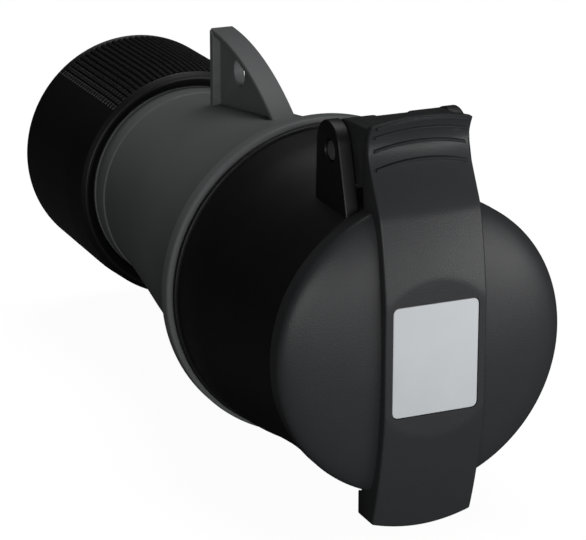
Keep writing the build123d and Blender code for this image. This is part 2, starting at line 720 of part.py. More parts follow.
def knuckle():
    """Hinge barrels, cheeks and roof that join the strap's lever to the pin."""
    barrel_top = HINGE_Z + BARREL_R
    barrel_low = HINGE_Z - BARREL_R
    lever_back_x = LEVER_TIP_X - LEVER_THICK
    lever_top_z = STRAP_TOP_Z - END_ARC_RISE
    waist_x = LEVER_WAIST_X - LEVER_THICK / 2
    side = make_face(Polyline(
        (HINGE_X, barrel_top),
        (lever_back_x, lever_top_z),
        (waist_x, LEVER_WAIST_Z),
        (LID_X + LEVER_THICK / 2, barrel_low),
        (HINGE_X, barrel_low),
        close=True,
    ))
    room = make_face(Polyline(
        (HINGE_X, barrel_top - KNUCKLE_ROOF),
        (lever_back_x, lever_top_z - KNUCKLE_ROOF),
        (LEVER_WAIST_X - LEVER_THICK, LEVER_WAIST_Z),
        (LID_X, barrel_low),
        (HINGE_X, barrel_low),
        close=True,
    ))
    body = plate(side, -KNUCKLE_HALF, KNUCKLE_HALF)
    body -= plate(room, CHEEK_THICK - KNUCKLE_HALF, KNUCKLE_HALF - CHEEK_THICK)
    body += cross_bar(SPRING_POCKET_HALF, KNUCKLE_HALF, BARREL_R)
    body += cross_bar(-KNUCKLE_HALF, -SPRING_POCKET_HALF, BARREL_R)
    return body


def grip_ribs():
    """Arched raised lines across the lever, just proud of its front."""
    skin = crowned(lever_skin())
    return [skin & arched_band(STRAP_HALF - GRIP_MARGIN, z, GRIP_RIB) for z in GRIP_LINES_Z]


def lid():
    strap = crowned(strap_side()) & strap_window(STRAP_HALF, STRAP_LOW_Z, STRAP_TOP_Z)
    strap -= rod(TAB_REAR_X - 10, LID_X, KEYWAY_BULGE_R + TAB_ROOM)
    body = dome() + strap + knuckle()
    body -= lid_hollow()
    body -= block(FACET_X, FACET_X + 10, STRAP_HALF, -LABEL_HEIGHT, LABEL_HEIGHT)
    for rib in grip_ribs():
        body += rib
    body -= label_blank(SLIP, FACET_X - LABEL_RECESS, 2 * LABEL_RECESS)
    body -= cross_bar(-STRAP_HALF, STRAP_HALF, PIN_R + PIN_BORE_ROOM)
    return body


def label_blank(room, x, thick):
    """The label's rounded outline, given a thickness along X."""
    face = RectangleRounded(LABEL_WIDTH + 2 * room, LABEL_HEIGHT + 2 * room, LABEL_ROUND + room)
    return Location((x, 0, 0)) * extrude(Plane.YZ * face, amount=thick)


def label_plate():
    return label_blank(0, FACET_X - LABEL_RECESS, LABEL_THICK)


def lid_gasket():
    return ring(LID_X, LID_X + GASKET_THICK, HOLLOW_R, GASKET_R)


# Hinge pin, its clip and the lid's spring

def hinge_pin():
    """A headed pin through both ears and the lid's barrels."""
    end_y = EAR_OUTER_Y + 2 * CLIP_THICK
    pin = cross_bar(-EAR_OUTER_Y, end_y, PIN_R)
    head = cross_bar(PIN_HEAD_SUNK - PIN_HEAD - EAR_OUTER_Y, PIN_HEAD_SUNK - EAR_OUTER_Y, PIN_HEAD_R)
    return pin + head


def pin_clip():
    """Push-on ring that keeps the pin in."""
    end_y = EAR_OUTER_Y + CLIP_THICK
    return cross_bar(EAR_OUTER_Y, end_y, CLIP_R) - cross_bar(EAR_OUTER_Y, end_y, PIN_R)


def lid_spring():
    """Torsion spring round the pin, one leg on the drum and a hooked arm behind the lever."""
    path = Rotation(0, 0, 90) * Helix(SPRING_PITCH, 2 * SPRING_HALF, SPRING_MEAN_R)
    spring = sweep(Plane(path @ 0, z_dir=path % 0) * Circle(SPRING_R), path=path, is_frenet=True)
    wire_r = SPRING_R - SEAT_GAP / 2
    lap = SPRING_R / 2
    ends = (
        ((-lap, SPRING_MEAN_R, 0), (0, 90, 0), SPRING_ARM + lap),
        ((SPRING_ARM - wire_r, SPRING_MEAN_R, 0), (-90, 0, 0), SPRING_HOOK),
        ((-SPRING_MEAN_R, lap, 2 * SPRING_HALF), (90, 0, 0), SPRING_LEG + lap),
    )
    for start, turn, length in ends:
        straight = Cylinder(wire_r, length, align=(Align.CENTER, Align.CENTER, Align.MIN))
        spring += Location(start, turn) * straight
    return Location((HINGE_X, SPRING_HALF, HINGE_Z), (90, 0, 0)) * spring


PIECES = {
    "rear_housing": rear_housing,
    "eye_fin": eye_fin,
    "front_housing": front_housing,
    "housing_seal": housing_seal,
    "carrier_face": carrier_face,
    "contact_carrier": contact_carrier,
    "carrier_back": carrier_back,
    "carrier_ring": carrier_ring,
    "carrier_screws": carrier_screws,
    "terminal_screws": terminal_screws,
    "gland_nut": gland_nut,
    "thrust_ring": thrust_ring,
    "cable_clamp": cable_clamp,
    "cable_seal": cable_seal,
    "lid": lid,
    "lid_gasket": lid_gasket,
    "label_plate": label_plate,
    "hinge_pin": hinge_pin,
    "pin_clip": pin_clip,
    "lid_spring": lid_spring,
}


def write(name, shape):
    """One sub-part's file, with a group of solids where the piece is several."""
    if isinstance(shape, list):
        shape = Compound(children=shape)
    export_step(shape, f"parts/{name}.step")
    print(name, round(shape.volume, 1))


os.makedirs("parts", exist_ok=True)
for piece_name, make in PIECES.items():
    write(piece_name, make())
for number, (contact_name, pin_radius, contact_hour) in enumerate(contact_list(), start=1):
    write(contact_name, contact(pin_radius, contact_hour))
    write(f"contact_spring_{number}", contact_spring(pin_radius, contact_hour))
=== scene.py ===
"""Industrial cable coupler: the dressed model with its floor, light and camera.

Lengths in the classes are millimetres in the model's own frame. +X runs along the
axis out towards the lid, +Z is up through the hinge and the hanging eye, and the
origin is the centre of the insulating face that the plug meets.
"""

from __future__ import annotations

import logging
from collections.abc import Callable, Sequence
from dataclasses import dataclass, field
from enum import Enum
from math import acos, atan2, cos, hypot, pi, radians, sin, sqrt

import bmesh
import bpy
from bpy.types import ID, Curve, Material, Mesh, Node, NodeSocket, NodeTree, Object
from mathutils import Matrix, Vector

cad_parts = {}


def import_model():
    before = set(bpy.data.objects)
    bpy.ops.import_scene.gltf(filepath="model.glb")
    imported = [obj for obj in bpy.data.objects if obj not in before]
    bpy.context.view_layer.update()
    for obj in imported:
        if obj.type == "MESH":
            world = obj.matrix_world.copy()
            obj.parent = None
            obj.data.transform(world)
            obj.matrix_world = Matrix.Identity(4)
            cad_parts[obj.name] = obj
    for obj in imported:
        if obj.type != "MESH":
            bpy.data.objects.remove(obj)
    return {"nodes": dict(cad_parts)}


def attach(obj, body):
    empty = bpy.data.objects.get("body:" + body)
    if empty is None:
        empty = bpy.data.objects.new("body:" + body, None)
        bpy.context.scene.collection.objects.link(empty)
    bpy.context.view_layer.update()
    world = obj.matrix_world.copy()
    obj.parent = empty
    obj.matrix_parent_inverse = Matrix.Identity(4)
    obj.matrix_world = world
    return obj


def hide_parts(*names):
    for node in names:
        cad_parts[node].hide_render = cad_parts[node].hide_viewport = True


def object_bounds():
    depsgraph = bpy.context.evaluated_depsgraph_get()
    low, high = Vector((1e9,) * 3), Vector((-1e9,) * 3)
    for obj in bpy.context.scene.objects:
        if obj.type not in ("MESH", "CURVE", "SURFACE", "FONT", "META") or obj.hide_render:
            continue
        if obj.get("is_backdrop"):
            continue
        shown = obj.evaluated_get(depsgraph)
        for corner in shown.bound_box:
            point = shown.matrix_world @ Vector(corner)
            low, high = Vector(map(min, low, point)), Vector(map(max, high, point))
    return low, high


LOG = logging.getLogger("coupler")
MM = 0.001
MM_PER_METRE = 1000.0

# Angles in degrees from which edges stay sharp, and from which soften rounds them
SHARP = 32.0
LID_SHARP = 35.0
SOFTENED = 40.0

# How many sides a full turn gets, and how close two sizes are taken as equal
SHELL_SIDES = 176
PIN_SIDES = 64
SNUG = 0.001

Point = tuple[float, float]
Triple = tuple[float, float, float]
Colour = Triple
Values = dict[str | int, float | tuple[float, ...]]


class Body(Enum):
    """The rigid bodies that new pieces ride on."""

    HOUSING = "housing"
    LID = "lid"
    NUT = "nut"


class Slot(Enum):
    """The record's material slots, passed along with new pieces."""

    BLACK = "black_housing"
    GREY = "grey_housing"
    LID = "lid_plastic"
    LABEL = "label"
    STEEL = "steel"


class Axis(Enum):
    """What a turned piece is turned about."""

    COUPLER = "coupler"
    HINGE = "hinge"


@dataclass(frozen=True)
class Stations:
    """Places and radii that several sub-assemblies share."""

    rim_x: float = 6.0
    bore_r: float = 32.6
    joint_x: float = -44.0
    flange_r: float = 40.5
    collar_x: float = -133.5
    thread_rear_x: float = -160.0
    hinge_x: float = -3.8
    hinge_z: float = 44.5
    pin_hole_r: float = 2.05
    strap_half: float = 12.6
    lid_r: float = 35.5
    lid_x: float = 6.3
    dome_x: float = 10.0


AT = Stations()


# Outlines


def rounded(corners: Sequence[Triple], closed: bool = True, steps: int = 5) -> list[Point]:
    """Rounds the corners of an outline.

    Args:
        corners: Points as (first, second, radius), where radius 0 leaves the corner sharp.
        closed: Whether the last point joins the first.
        steps: How many edges each rounding gets.

    Returns:
        The outline's points, with each rounded corner as a short arc.
    """
    points: list[Point] = []
    count = len(corners)
    for i, (x, y, radius) in enumerate(corners):
        if radius <= 0 or (not closed and i in (0, count - 1)):
            points.append((x, y))
            continue
        here = Vector((x, y))
        before = Vector(corners[i - 1][:2]) - here
        after = Vector(corners[(i + 1) % count][:2]) - here
        half = before.angle(after) / 2
        reach = min(radius * cos(half) / max(sin(half), 1e-6), 0.45 * before.length, 0.45 * after.length)
        start = here + before.normalized() * reach
        end = here + after.normalized() * reach
        for k in range(steps + 1):
            t = k / steps
            p = start * (1 - t) ** 2 + here * 2 * t * (1 - t) + end * t ** 2
            points.append((p.x, p.y))
    return points


def flowing(points: Sequence[Point | Vector], steps: int) -> list[Point]:
    """Draws a smooth curve through points.

    Args:
        points: The points that the curve passes.
        steps: How many edges each span gets.

    Returns:
        Points along the curve, the first and last ones included.
    """
    ends = [points[0], *points, points[-1]]
    out: list[Point] = []
    for i in range(1, len(ends) - 2):
        p0, p1, p2, p3 = (Vector(p) for p in ends[i - 1:i + 3])
        for k in range(steps):
            t = k / steps
            p = 0.5 * (
                2 * p1 + (p2 - p0) * t + (2 * p0 - 5 * p1 + 4 * p2 - p3) * t ** 2
                + (3 * p1 - p0 - 3 * p2 + p3) * t ** 3
            )
            out.append((p.x, p.y))
    out.append((points[-1][0], points[-1][1]))
    return out


def arc(centre: Point, radii: Point, start: float, end: float, steps: int) -> list[Point]:
    """Draws part of a circle or an ellipse.

    Args:
        centre: Its centre.
        radii: Its radii in the first and second direction.
        start: The angle in radians where it starts.
        end: The angle where it ends.
        steps: How many edges it gets.

    Returns:
        Points along the arc, both ends included.
    """
    turns = [start + (end - start) * k / steps for k in range(steps + 1)]
    return [(centre[0] + radii[0] * cos(t), centre[1] + radii[1] * sin(t)) for t in turns]


def full_turn(sides: int) -> list[float]:
    """Lists evenly spread angles round a full turn, in radians."""
    return [2 * pi * k / sides for k in range(sides)]


# Mesh making


def new_object(name: str, data: ID) -> Object:
    """Puts a new object into the scene.

    Args:
        name: The object's name.
        data: Its mesh, curve, lamp or camera data.

    Returns:
        The object.
    """
    piece = bpy.data.objects.new(name, data)
    bpy.context.scene.collection.objects.link(piece)
    return piece


def shade(mesh: Mesh, sharp: float = SHARP) -> None:
    """Makes a mesh smooth, with edges that stay sharp from an angle in degrees."""
    mesh.shade_smooth()
    mesh.set_sharp_from_angle(angle=radians(sharp))


def settled_mesh(piece: Object) -> Mesh:
    """Makes a mesh of a piece as its modifiers or its curve's settings shape it."""
    bpy.context.view_layer.update()
    return bpy.data.meshes.new_from_object(piece.evaluated_get(bpy.context.evaluated_depsgraph_get()))


def finish_mesh(name: str, bm: bmesh.types.BMesh, sharp: float = SHARP) -> Object:
    """Turns a bmesh into an object with smooth faces and sharp creases.

    Args:
        name: The object's name.
        bm: The bmesh, in metres. It is freed.
        sharp: Angle in degrees from which an edge stays sharp.

    Returns:
        The new object.
    """
    bmesh.ops.recalc_face_normals(bm, faces=bm.faces)
    mesh = bpy.data.meshes.new(name)
    bm.to_mesh(mesh)
    bm.free()
    shade(mesh, sharp)
    return new_object(name, mesh)


def turned(
    name: str,
    path: Sequence[Point],
    turns: Sequence[float] = tuple(full_turn(SHELL_SIDES)),
    depth: Callable[[float, float, float], float] | None = None,
    about: Axis = Axis.COUPLER,
    closed: bool = True,
) -> Object:
    """Turns an outline about an axis.

    Args:
        name: The object's name.
        path: The outline as (station, radius).
        turns: Angles in radians of the mesh's meridians.
        depth: How far the surface is set in at a station, radius and angle, if it is.
        about: The axis.
        closed: Whether the outline closes on itself.

    Returns:
        The turned object.
    """
    bm = bmesh.new()
    rings = []
    for angle in turns:
        ring = []
        for x, r in path:
            inner = r - depth(x, r, angle) if depth else r
            if about is Axis.COUPLER:
                spot = Vector((x, inner * sin(angle), inner * cos(angle)))
            else:
                spot = Vector((AT.hinge_x + inner * sin(angle), x, AT.hinge_z + inner * cos(angle)))
            ring.append(bm.verts.new(spot * MM))
        rings.append(ring)
    spans = len(path) if closed else len(path) - 1
    for i, ring in enumerate(rings):
        following = rings[(i + 1) % len(rings)]
        for j in range(spans):
            k = (j + 1) % len(path)
            bm.faces.new((ring[j], ring[k], following[k], following[j]))
    bmesh.ops.remove_doubles(bm, verts=bm.verts, dist=2e-7)
    return finish_mesh(name, bm)


def curve_mesh(curve: Curve, lines: Sequence[Sequence[Sequence[float]]], cyclic: bool) -> Mesh:
    """Draws lines of straight spans in a curve and turns it into a mesh.

    Args:
        curve: The curve.
        lines: Each line's points, in metres.
        cyclic: Whether the lines close on themselves.

    Returns:
        The mesh.
    """
    for places in lines:
        line = curve.splines.new("POLY")
        line.points.add(len(places) - 1)
        for point, spot in zip(line.points, places):
            point.co = (*spot, 1)
        line.use_cyclic_u = cyclic
    passing = new_object(curve.name, curve)
    mesh = settled_mesh(passing)
    bpy.data.objects.remove(passing)
    return mesh


def slab(
    name: str, outline: list[Point], low_y: float, high_y: float, edge: float, hole: Triple | None = None
) -> Object:
    """Cuts a plate in X and Z, with rounded edges and perhaps a round hole.

    Args:
        name: The object's name.
        outline: The outline's points as (x, z).
        low_y: One side.
        high_y: The other side.
        edge: Radius of the edges.
        hole: A round hole as (x, z, radius).

    Returns:
        The plate.
    """
    curve = bpy.data.curves.new(name, "CURVE")
    curve.dimensions = "2D"
    curve.fill_mode = "BOTH"
    curve.extrude = ((high_y - low_y) / 2 - edge) * MM
    curve.bevel_depth = edge * MM
    curve.bevel_resolution = 3
    curve.offset = -edge * MM
    loops = [outline]
    if hole:
        loops.append(arc(hole[:2], (hole[2], hole[2]), 0, -2 * pi, 48)[:-1])
    mesh = curve_mesh(curve, [[(x * MM, z * MM, 0) for x, z in loop] for loop in loops], cyclic=True)
    middle = (low_y + high_y) / 2 * MM
    mesh.transform(Matrix(((1, 0, 0, 0), (0, 0, -1, middle), (0, 1, 0, 0), (0, 0, 0, 1))))
    bm = bmesh.new()
    bm.from_mesh(mesh)
    bpy.data.meshes.remove(mesh)
    bmesh.ops.remove_doubles(bm, verts=bm.verts, dist=1e-6)
    return finish_mesh(name, bm)


def grid_solid(name: str, rows: Sequence[Sequence[Vector]], sharp: float = SHARP) -> Object:
    """Joins closed sections into a solid with a face on each end.

    Args:
        name: The object's name.
        rows: Sections with equal numbers of points, in metres.
        sharp: Angle in degrees from which an edge stays sharp.

    Returns:
        The solid.
    """
    bm = bmesh.new()
    rings = [[bm.verts.new(p) for p in row] for row in rows]
    for first, second in zip(rings, rings[1:]):
        for j in range(len(first)):
            k = (j + 1) % len(first)
            bm.faces.new((first[j], first[k], second[k], second[j]))
    bm.faces.new(rings[0])
    bm.faces.new(rings[-1])
    return finish_mesh(name, bm, sharp)


def keep_modifiers(piece: Object) -> None:
    """Writes a piece's modifiers into its mesh.

    Args:
        piece: The object.
    """
    mesh = settled_mesh(piece)
    piece.modifiers.clear()
    piece.data = mesh
    mesh.name = piece.name
    shade(mesh, LID_SHARP)


def soften(piece: Object, width: float) -> None:
    """Rounds a piece's sharp edges and keeps the result in its mesh.

    Args:
        piece: The object.
        width: Width of the rounding.
    """
    bevel = piece.modifiers.new("soften", "BEVEL")
    bevel.width = width * MM
    bevel.segments = 3
    bevel.limit_method = "ANGLE"
    bevel.angle_limit = radians(SOFTENED)
    keep_modifiers(piece)


def cut_out(piece: Object, tool: Object) -> None:
    """Cuts a tool's shape out of a piece and removes the tool.

    Args:
        piece: The object that is cut.
        tool: The object that cuts.
    """
    cut = piece.modifiers.new("cut", "BOOLEAN")
    cut.operation = "DIFFERENCE"
    cut.solver = "EXACT"
    cut.object = tool
    keep_modifiers(piece)
    bpy.data.objects.remove(tool)


def joined(name: str, pieces: Sequence[Object], sharp: float = SHARP) -> Object:
    """Joins several meshes into one object.

    Args:
        name: The new object's name.
        pieces: The objects, which are removed.
        sharp: Angle in degrees from which an edge stays sharp.

    Returns:
        The joined object.
    """
    bm = bmesh.new()
    for piece in pieces:
        bm.from_mesh(piece.data)
        bpy.data.objects.remove(piece)
    mesh = bpy.data.meshes.new(name)
    bm.to_mesh(mesh)
    bm.free()
    shade(mesh, sharp)
    return new_object(name, mesh)


def place(piece: Object, body: Body, slot: Slot, finish: Material, *nodes: str) -> None:
    """Gives a new piece its body and finish, and lets it stand for CAD nodes.

    Args:
        piece: The object.
        body: The body it rides on.
        slot: The record's slot; not used.
        finish: Its material.
        nodes: The CAD nodes it stands for.
    """
    piece.data.materials.clear()
    piece.data.materials.append(finish)
    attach(piece, body.value)
    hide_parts(*nodes)
    LOG.info("%s rides on %s", piece.name, body.value)


# Shader node groups


def add_node(tree: NodeTree, kind: str, values: Values | None = None, **settings: object) -> Node:
    """Adds a node.

    Args:
        tree: The node tree.
        kind: The node's type.
        values: Values for its inputs, by name or number.
        settings: Values for its own settings.

    Returns:
        The node.
    """
    node = tree.nodes.new(kind)
    for label, setting in settings.items():
        setattr(node, label, setting)
    for label, value in (values or {}).items():
        node.inputs[label].default_value = value
    return node


def find_node(tree: NodeTree, kind: str) -> Node:
    """Finds a node that the tree has from the start."""
    return next(n for n in tree.nodes if n.bl_idname == kind)


def mixed(tree: NodeTree, ends: Values, share: NodeSocket) -> Node:
    """Adds a node that mixes the colours A and B by B's share.

    Args:
        tree: The material's node tree.
        ends: The colours, where they are plain.
        share: The socket that gives B's share.

    Returns:
        The mix node.
    """
    mix = add_node(tree, "ShaderNodeMix", ends, data_type="RGBA")
    tree.links.new(share, mix.inputs["Factor"])
    return mix


def link_all(tree: NodeTree, pairs: Sequence[tuple[NodeSocket, NodeSocket]]) -> None:
    """Links pairs of an output and an input."""
    for output, target in pairs:
        tree.links.new(output, target)


def new_group(name: str, inputs: dict[str, float], outputs: Sequence[str]) -> tuple[NodeTree, Node, Node]:
    """Makes an empty shader group with float inputs and outputs.

    Args:
        name: The group's name.
        inputs: The inputs' names and defaults.
        outputs: The outputs' names.

    Returns:
        The group, its input node and its output node.
    """
    group = bpy.data.node_groups.new(name, "ShaderNodeTree")
    for label, default in inputs.items():
        socket = group.interface.new_socket(label, in_out="INPUT", socket_type="NodeSocketFloat")
        socket.default_value = default
    for label in outputs:
        group.interface.new_socket(label, in_out="OUTPUT", socket_type="NodeSocketFloat")
    return group, group.nodes.new("NodeGroupInput"), group.nodes.new("NodeGroupOutput")


def add_texture(
    group: NodeTree, kind: str, size: NodeSocket, values: Values | None = None, **settings: object
) -> Node:
    """Adds a texture that lies in the object's own space.

    Args:
        group: The shader group.
        kind: The texture node's type.
        size: The socket that gives the pattern's size in millimetres.
        values: Values for its inputs.
        settings: Values for its own settings.

    Returns:
        The texture's node.
    """
    texture = add_node(group, kind, values, **settings)
    where = add_node(group, "ShaderNodeTexCoord")
    scale = add_node(group, "ShaderNodeMath", {0: MM_PER_METRE}, operation="DIVIDE")
    link_all(group, [
        (where.outputs["Object"], texture.inputs["Vector"]),
        (size, scale.inputs[1]),
        (scale.outputs[0], texture.inputs["Scale"]),
    ])
    return texture


def moulded_grain_group() -> NodeTree:
    """Builds the fine texture of a mould's surface.

    Returns:
        A group with Grain Size, Mottle Size and Depth in; Height and Mottle out.
    """
    sizes = {"Grain Size": 0.3, "Mottle Size": 12.0, "Depth": 1.0}
    group, source, target = new_group("moulded_grain", sizes, ["Height", "Mottle"])
    size = source.outputs["Grain Size"]
    fine = add_texture(group, "ShaderNodeTexNoise", size, {"Detail": 2.0, "Roughness": 0.6})
    cells = add_texture(group, "ShaderNodeTexVoronoi", size)
    patches = {"Detail": 4.0, "Roughness": 0.55}
    broad = add_texture(group, "ShaderNodeTexNoise", source.outputs["Mottle Size"], patches)
    mix = add_node(group, "ShaderNodeMath", {1: 0.6}, operation="MULTIPLY_ADD")
    deep = add_node(group, "ShaderNodeMath", operation="MULTIPLY")
    link_all(group, [
        (fine.outputs["Fac"], mix.inputs[0]),
        (cells.outputs["Distance"], mix.inputs[2]),
        (mix.outputs[0], deep.inputs[0]),
        (source.outputs["Depth"], deep.inputs[1]),
        (deep.outputs[0], target.inputs["Height"]),
        (broad.outputs["Fac"], target.inputs["Mottle"]),
    ])
    return group


def edge_wear_group() -> NodeTree:
    """Builds the mask of edges that handling has rubbed.

    Returns:
        A group with Amount and Break Size in; Wear out.
    """
    group, source, target = new_group("edge_wear", {"Amount": 0.5, "Break Size": 3.0}, ["Wear"])
    geometry = add_node(group, "ShaderNodeNewGeometry")
    breaks = add_texture(group, "ShaderNodeTexNoise", source.outputs["Break Size"], {"Detail": 5.0})
    ridge = add_node(group, "ShaderNodeMapRange", {"From Min": 0.52, "From Max": 0.66})
    patch = add_node(group, "ShaderNodeMapRange", {"From Min": 0.35, "From Max": 0.65})
    both = add_node(group, "ShaderNodeMath", operation="MULTIPLY")
    worn = add_node(group, "ShaderNodeMath", operation="MULTIPLY")
    link_all(group, [
        (geometry.outputs["Pointiness"], ridge.inputs["Value"]),
        (breaks.outputs["Fac"], patch.inputs["Value"]),
        (ridge.outputs["Result"], both.inputs[0]),
        (patch.outputs["Result"], both.inputs[1]),
        (both.outputs[0], worn.inputs[0]),
        (source.outputs["Amount"], worn.inputs[1]),
        (worn.outputs[0], target.inputs["Wear"]),
    ])
    return group


def turning_lines_group() -> NodeTree:
    """Builds the fine rings that a lathe tool leaves along the coupler's axis.

    Returns:
        A group with Pitch and Depth in; Height out.
    """
    group, source, target = new_group("turning_lines", {"Pitch": 0.25, "Depth": 1.0}, ["Height"])
    pitch = source.outputs["Pitch"]
    wave = add_texture(group, "ShaderNodeTexWave", pitch, {"Distortion": 0.6}, bands_direction="X")
    deep = add_node(group, "ShaderNodeMath", operation="MULTIPLY")
    link_all(group, [
        (wave.outputs["Fac"], deep.inputs[0]),
        (source.outputs["Depth"], deep.inputs[1]),
        (deep.outputs[0], target.inputs["Height"]),
    ])
    return group


@dataclass
class Effects:
    """The shader groups that the finishes share."""

    grain: NodeTree = field(default_factory=moulded_grain_group)
    wear: NodeTree = field(default_factory=edge_wear_group)
    lines: NodeTree = field(default_factory=turning_lines_group)


# Finishes


def new_material(name: str) -> tuple[Material, NodeTree, Node]:
    """Makes a material with one Principled shader.

    Args:
        name: The material's name.

    Returns:
        The material, its node tree and its shader node.
    """
    material = bpy.data.materials.new(name)
    material.use_nodes = True
    return material, material.node_tree, find_node(material.node_tree, "ShaderNodeBsdfPrincipled")


@dataclass(frozen=True)
class Finish:
    """A finish whose colour and roughness drift between two ends over the surface."""

    name: str
    colour: Colour
    second: Colour
    rough: Point
    grain: float = 0.35
    mottle: float = 14.0
    relief: float = 0.02
    specular: float = 0.5
    metallic: float = 0.0

    def tint(self, tree: NodeTree, effects: Effects, mottle: NodeSocket) -> NodeSocket:
        """Gives the socket of the colour, which drifts with the mottling."""
        ends: Values = {"A": (*self.colour, 1), "B": (*self.second, 1)}
        return mixed(tree, ends, mottle).outputs["Result"]

    def height(self, tree: NodeTree, effects: Effects, grain: Node) -> NodeSocket:
        """Gives the socket of the relief's height."""
        return grain.outputs["Height"]

    def make(self, effects: Effects) -> Material:
        """Builds the material.

        Args:
            effects: The shared shader groups.

        Returns:
            The material.
        """
        material, tree, shader = new_material(self.name)
        shader.inputs["Specular IOR Level"].default_value = self.specular
        shader.inputs["Metallic"].default_value = self.metallic
        sizes: Values = {"Grain Size": self.grain, "Mottle Size": self.mottle, "Depth": 1.0}
        grain = add_node(tree, "ShaderNodeGroup", sizes, node_tree=effects.grain)
        rough = add_node(tree, "ShaderNodeMapRange", {"To Min": self.rough[0], "To Max": self.rough[1]})
        bump = add_node(tree, "ShaderNodeBump", {"Distance": self.relief * MM})
        link_all(tree, [
            (self.tint(tree, effects, grain.outputs["Mottle"]), shader.inputs["Base Color"]),
            (grain.outputs["Mottle"], rough.inputs["Value"]),
            (rough.outputs["Result"], shader.inputs["Roughness"]),
            (self.height(tree, effects, grain), bump.inputs["Height"]),
            (bump.outputs["Normal"], shader.inputs["Normal"]),
        ])
        return material


@dataclass(frozen=True)
class MouldedPlastic(Finish):
    """Injection-moulded plastic with faint mottling, and the second colour on rubbed edges."""

    wear: float = 0.4
    paler: float = 1.18
    break_size: float = 2.5

    def tint(self, tree: NodeTree, effects: Effects, mottle: NodeSocket) -> NodeSocket:
        """Gives the colour's socket.

        Args:
            tree: The material's node tree.
            effects: The shared shader groups.
            mottle: The mottling's socket.

        Returns:
            The socket of the mottled colour with its worn edges.
        """
        pale = tuple(self.paler * c for c in self.colour)
        base = mixed(tree, {"A": (*self.colour, 1), "B": (*pale, 1)}, mottle)
        amounts: Values = {"Amount": self.wear, "Break Size": self.break_size}
        worn = add_node(tree, "ShaderNodeGroup", amounts, node_tree=effects.wear)
        mix = mixed(tree, {"B": (*self.second, 1)}, worn.outputs["Wear"])
        tree.links.new(base.outputs["Result"], mix.inputs["A"])
        return mix.outputs["Result"]


@dataclass(frozen=True)
class TurnedMetal(Finish):
    """Machined metal with tool rings and a little tarnish."""

    grain: float = 0.5
    mottle: float = 4.0
    relief: float = 0.006
    metallic: float = 1.0
    pitch: float = 0.3

    def height(self, tree: NodeTree, effects: Effects, grain: Node) -> NodeSocket:
        """Gives the socket of the tool rings' height."""
        rings: Values = {"Pitch": self.pitch, "Depth": 1.0}
        return add_node(tree, "ShaderNodeGroup", rings, node_tree=effects.lines).outputs["Height"]


@dataclass(frozen=True)
class SoftRubber(Finish):
    """Matte rubber with a dusty bloom."""

    rough: Point = (0.7, 0.9)
    grain: float = 0.6
    mottle: float = 6.0
    relief: float = 0.03


@dataclass
class Finishes:
    """Every finish on the coupler."""

    black: Material
    grey: Material
    lid: Material
    label: Material
    carrier: Material
    rubber: Material
    brass: Material
    steel: Material

    @classmethod
    def make(cls) -> Finishes:
        """Builds all the finishes with their shared effects.

        Returns:
            The finishes.
        """
        kinds = {
            "black": MouldedPlastic(
                "black_moulded", (0.0042, 0.0042, 0.0045), (0.022, 0.022, 0.023), (0.42, 0.52), specular=0.46
            ),
            "grey": MouldedPlastic(
                "grey_moulded", (0.162, 0.166, 0.168), (0.26, 0.265, 0.27), (0.42, 0.5), specular=0.16
            ),
            "lid": MouldedPlastic(
                "lid_moulded", (0.033, 0.034, 0.036), (0.07, 0.07, 0.073), (0.34, 0.42), specular=0.27
            ),
            "label": MouldedPlastic(
                "label_satin", (0.63, 0.655, 0.68), (0.72, 0.74, 0.76), (0.4, 0.5),
                grain=0.25, relief=0.006, wear=0.2,
            ),
            "carrier": MouldedPlastic(
                "carrier_moulded", (0.02, 0.02, 0.021), (0.05, 0.05, 0.052), (0.5, 0.6)
            ),
            "rubber": SoftRubber("seal_matte", (0.012, 0.012, 0.012), (0.03, 0.03, 0.03)),
            "brass": TurnedMetal(
                "brass_turned", (0.72, 0.50, 0.22), (0.55, 0.36, 0.14), (0.22, 0.36)
            ),
            "steel": TurnedMetal(
                "steel_plain", (0.62, 0.62, 0.63), (0.45, 0.45, 0.46), (0.36, 0.5)
            ),
        }
        effects = Effects()
        return cls(**{part: kind.make(effects) for part, kind in kinds.items()})


# Sub-assemblies


@dataclass
class SubAssembly:
    """Pieces that are built and dressed together."""

    finishes: Finishes


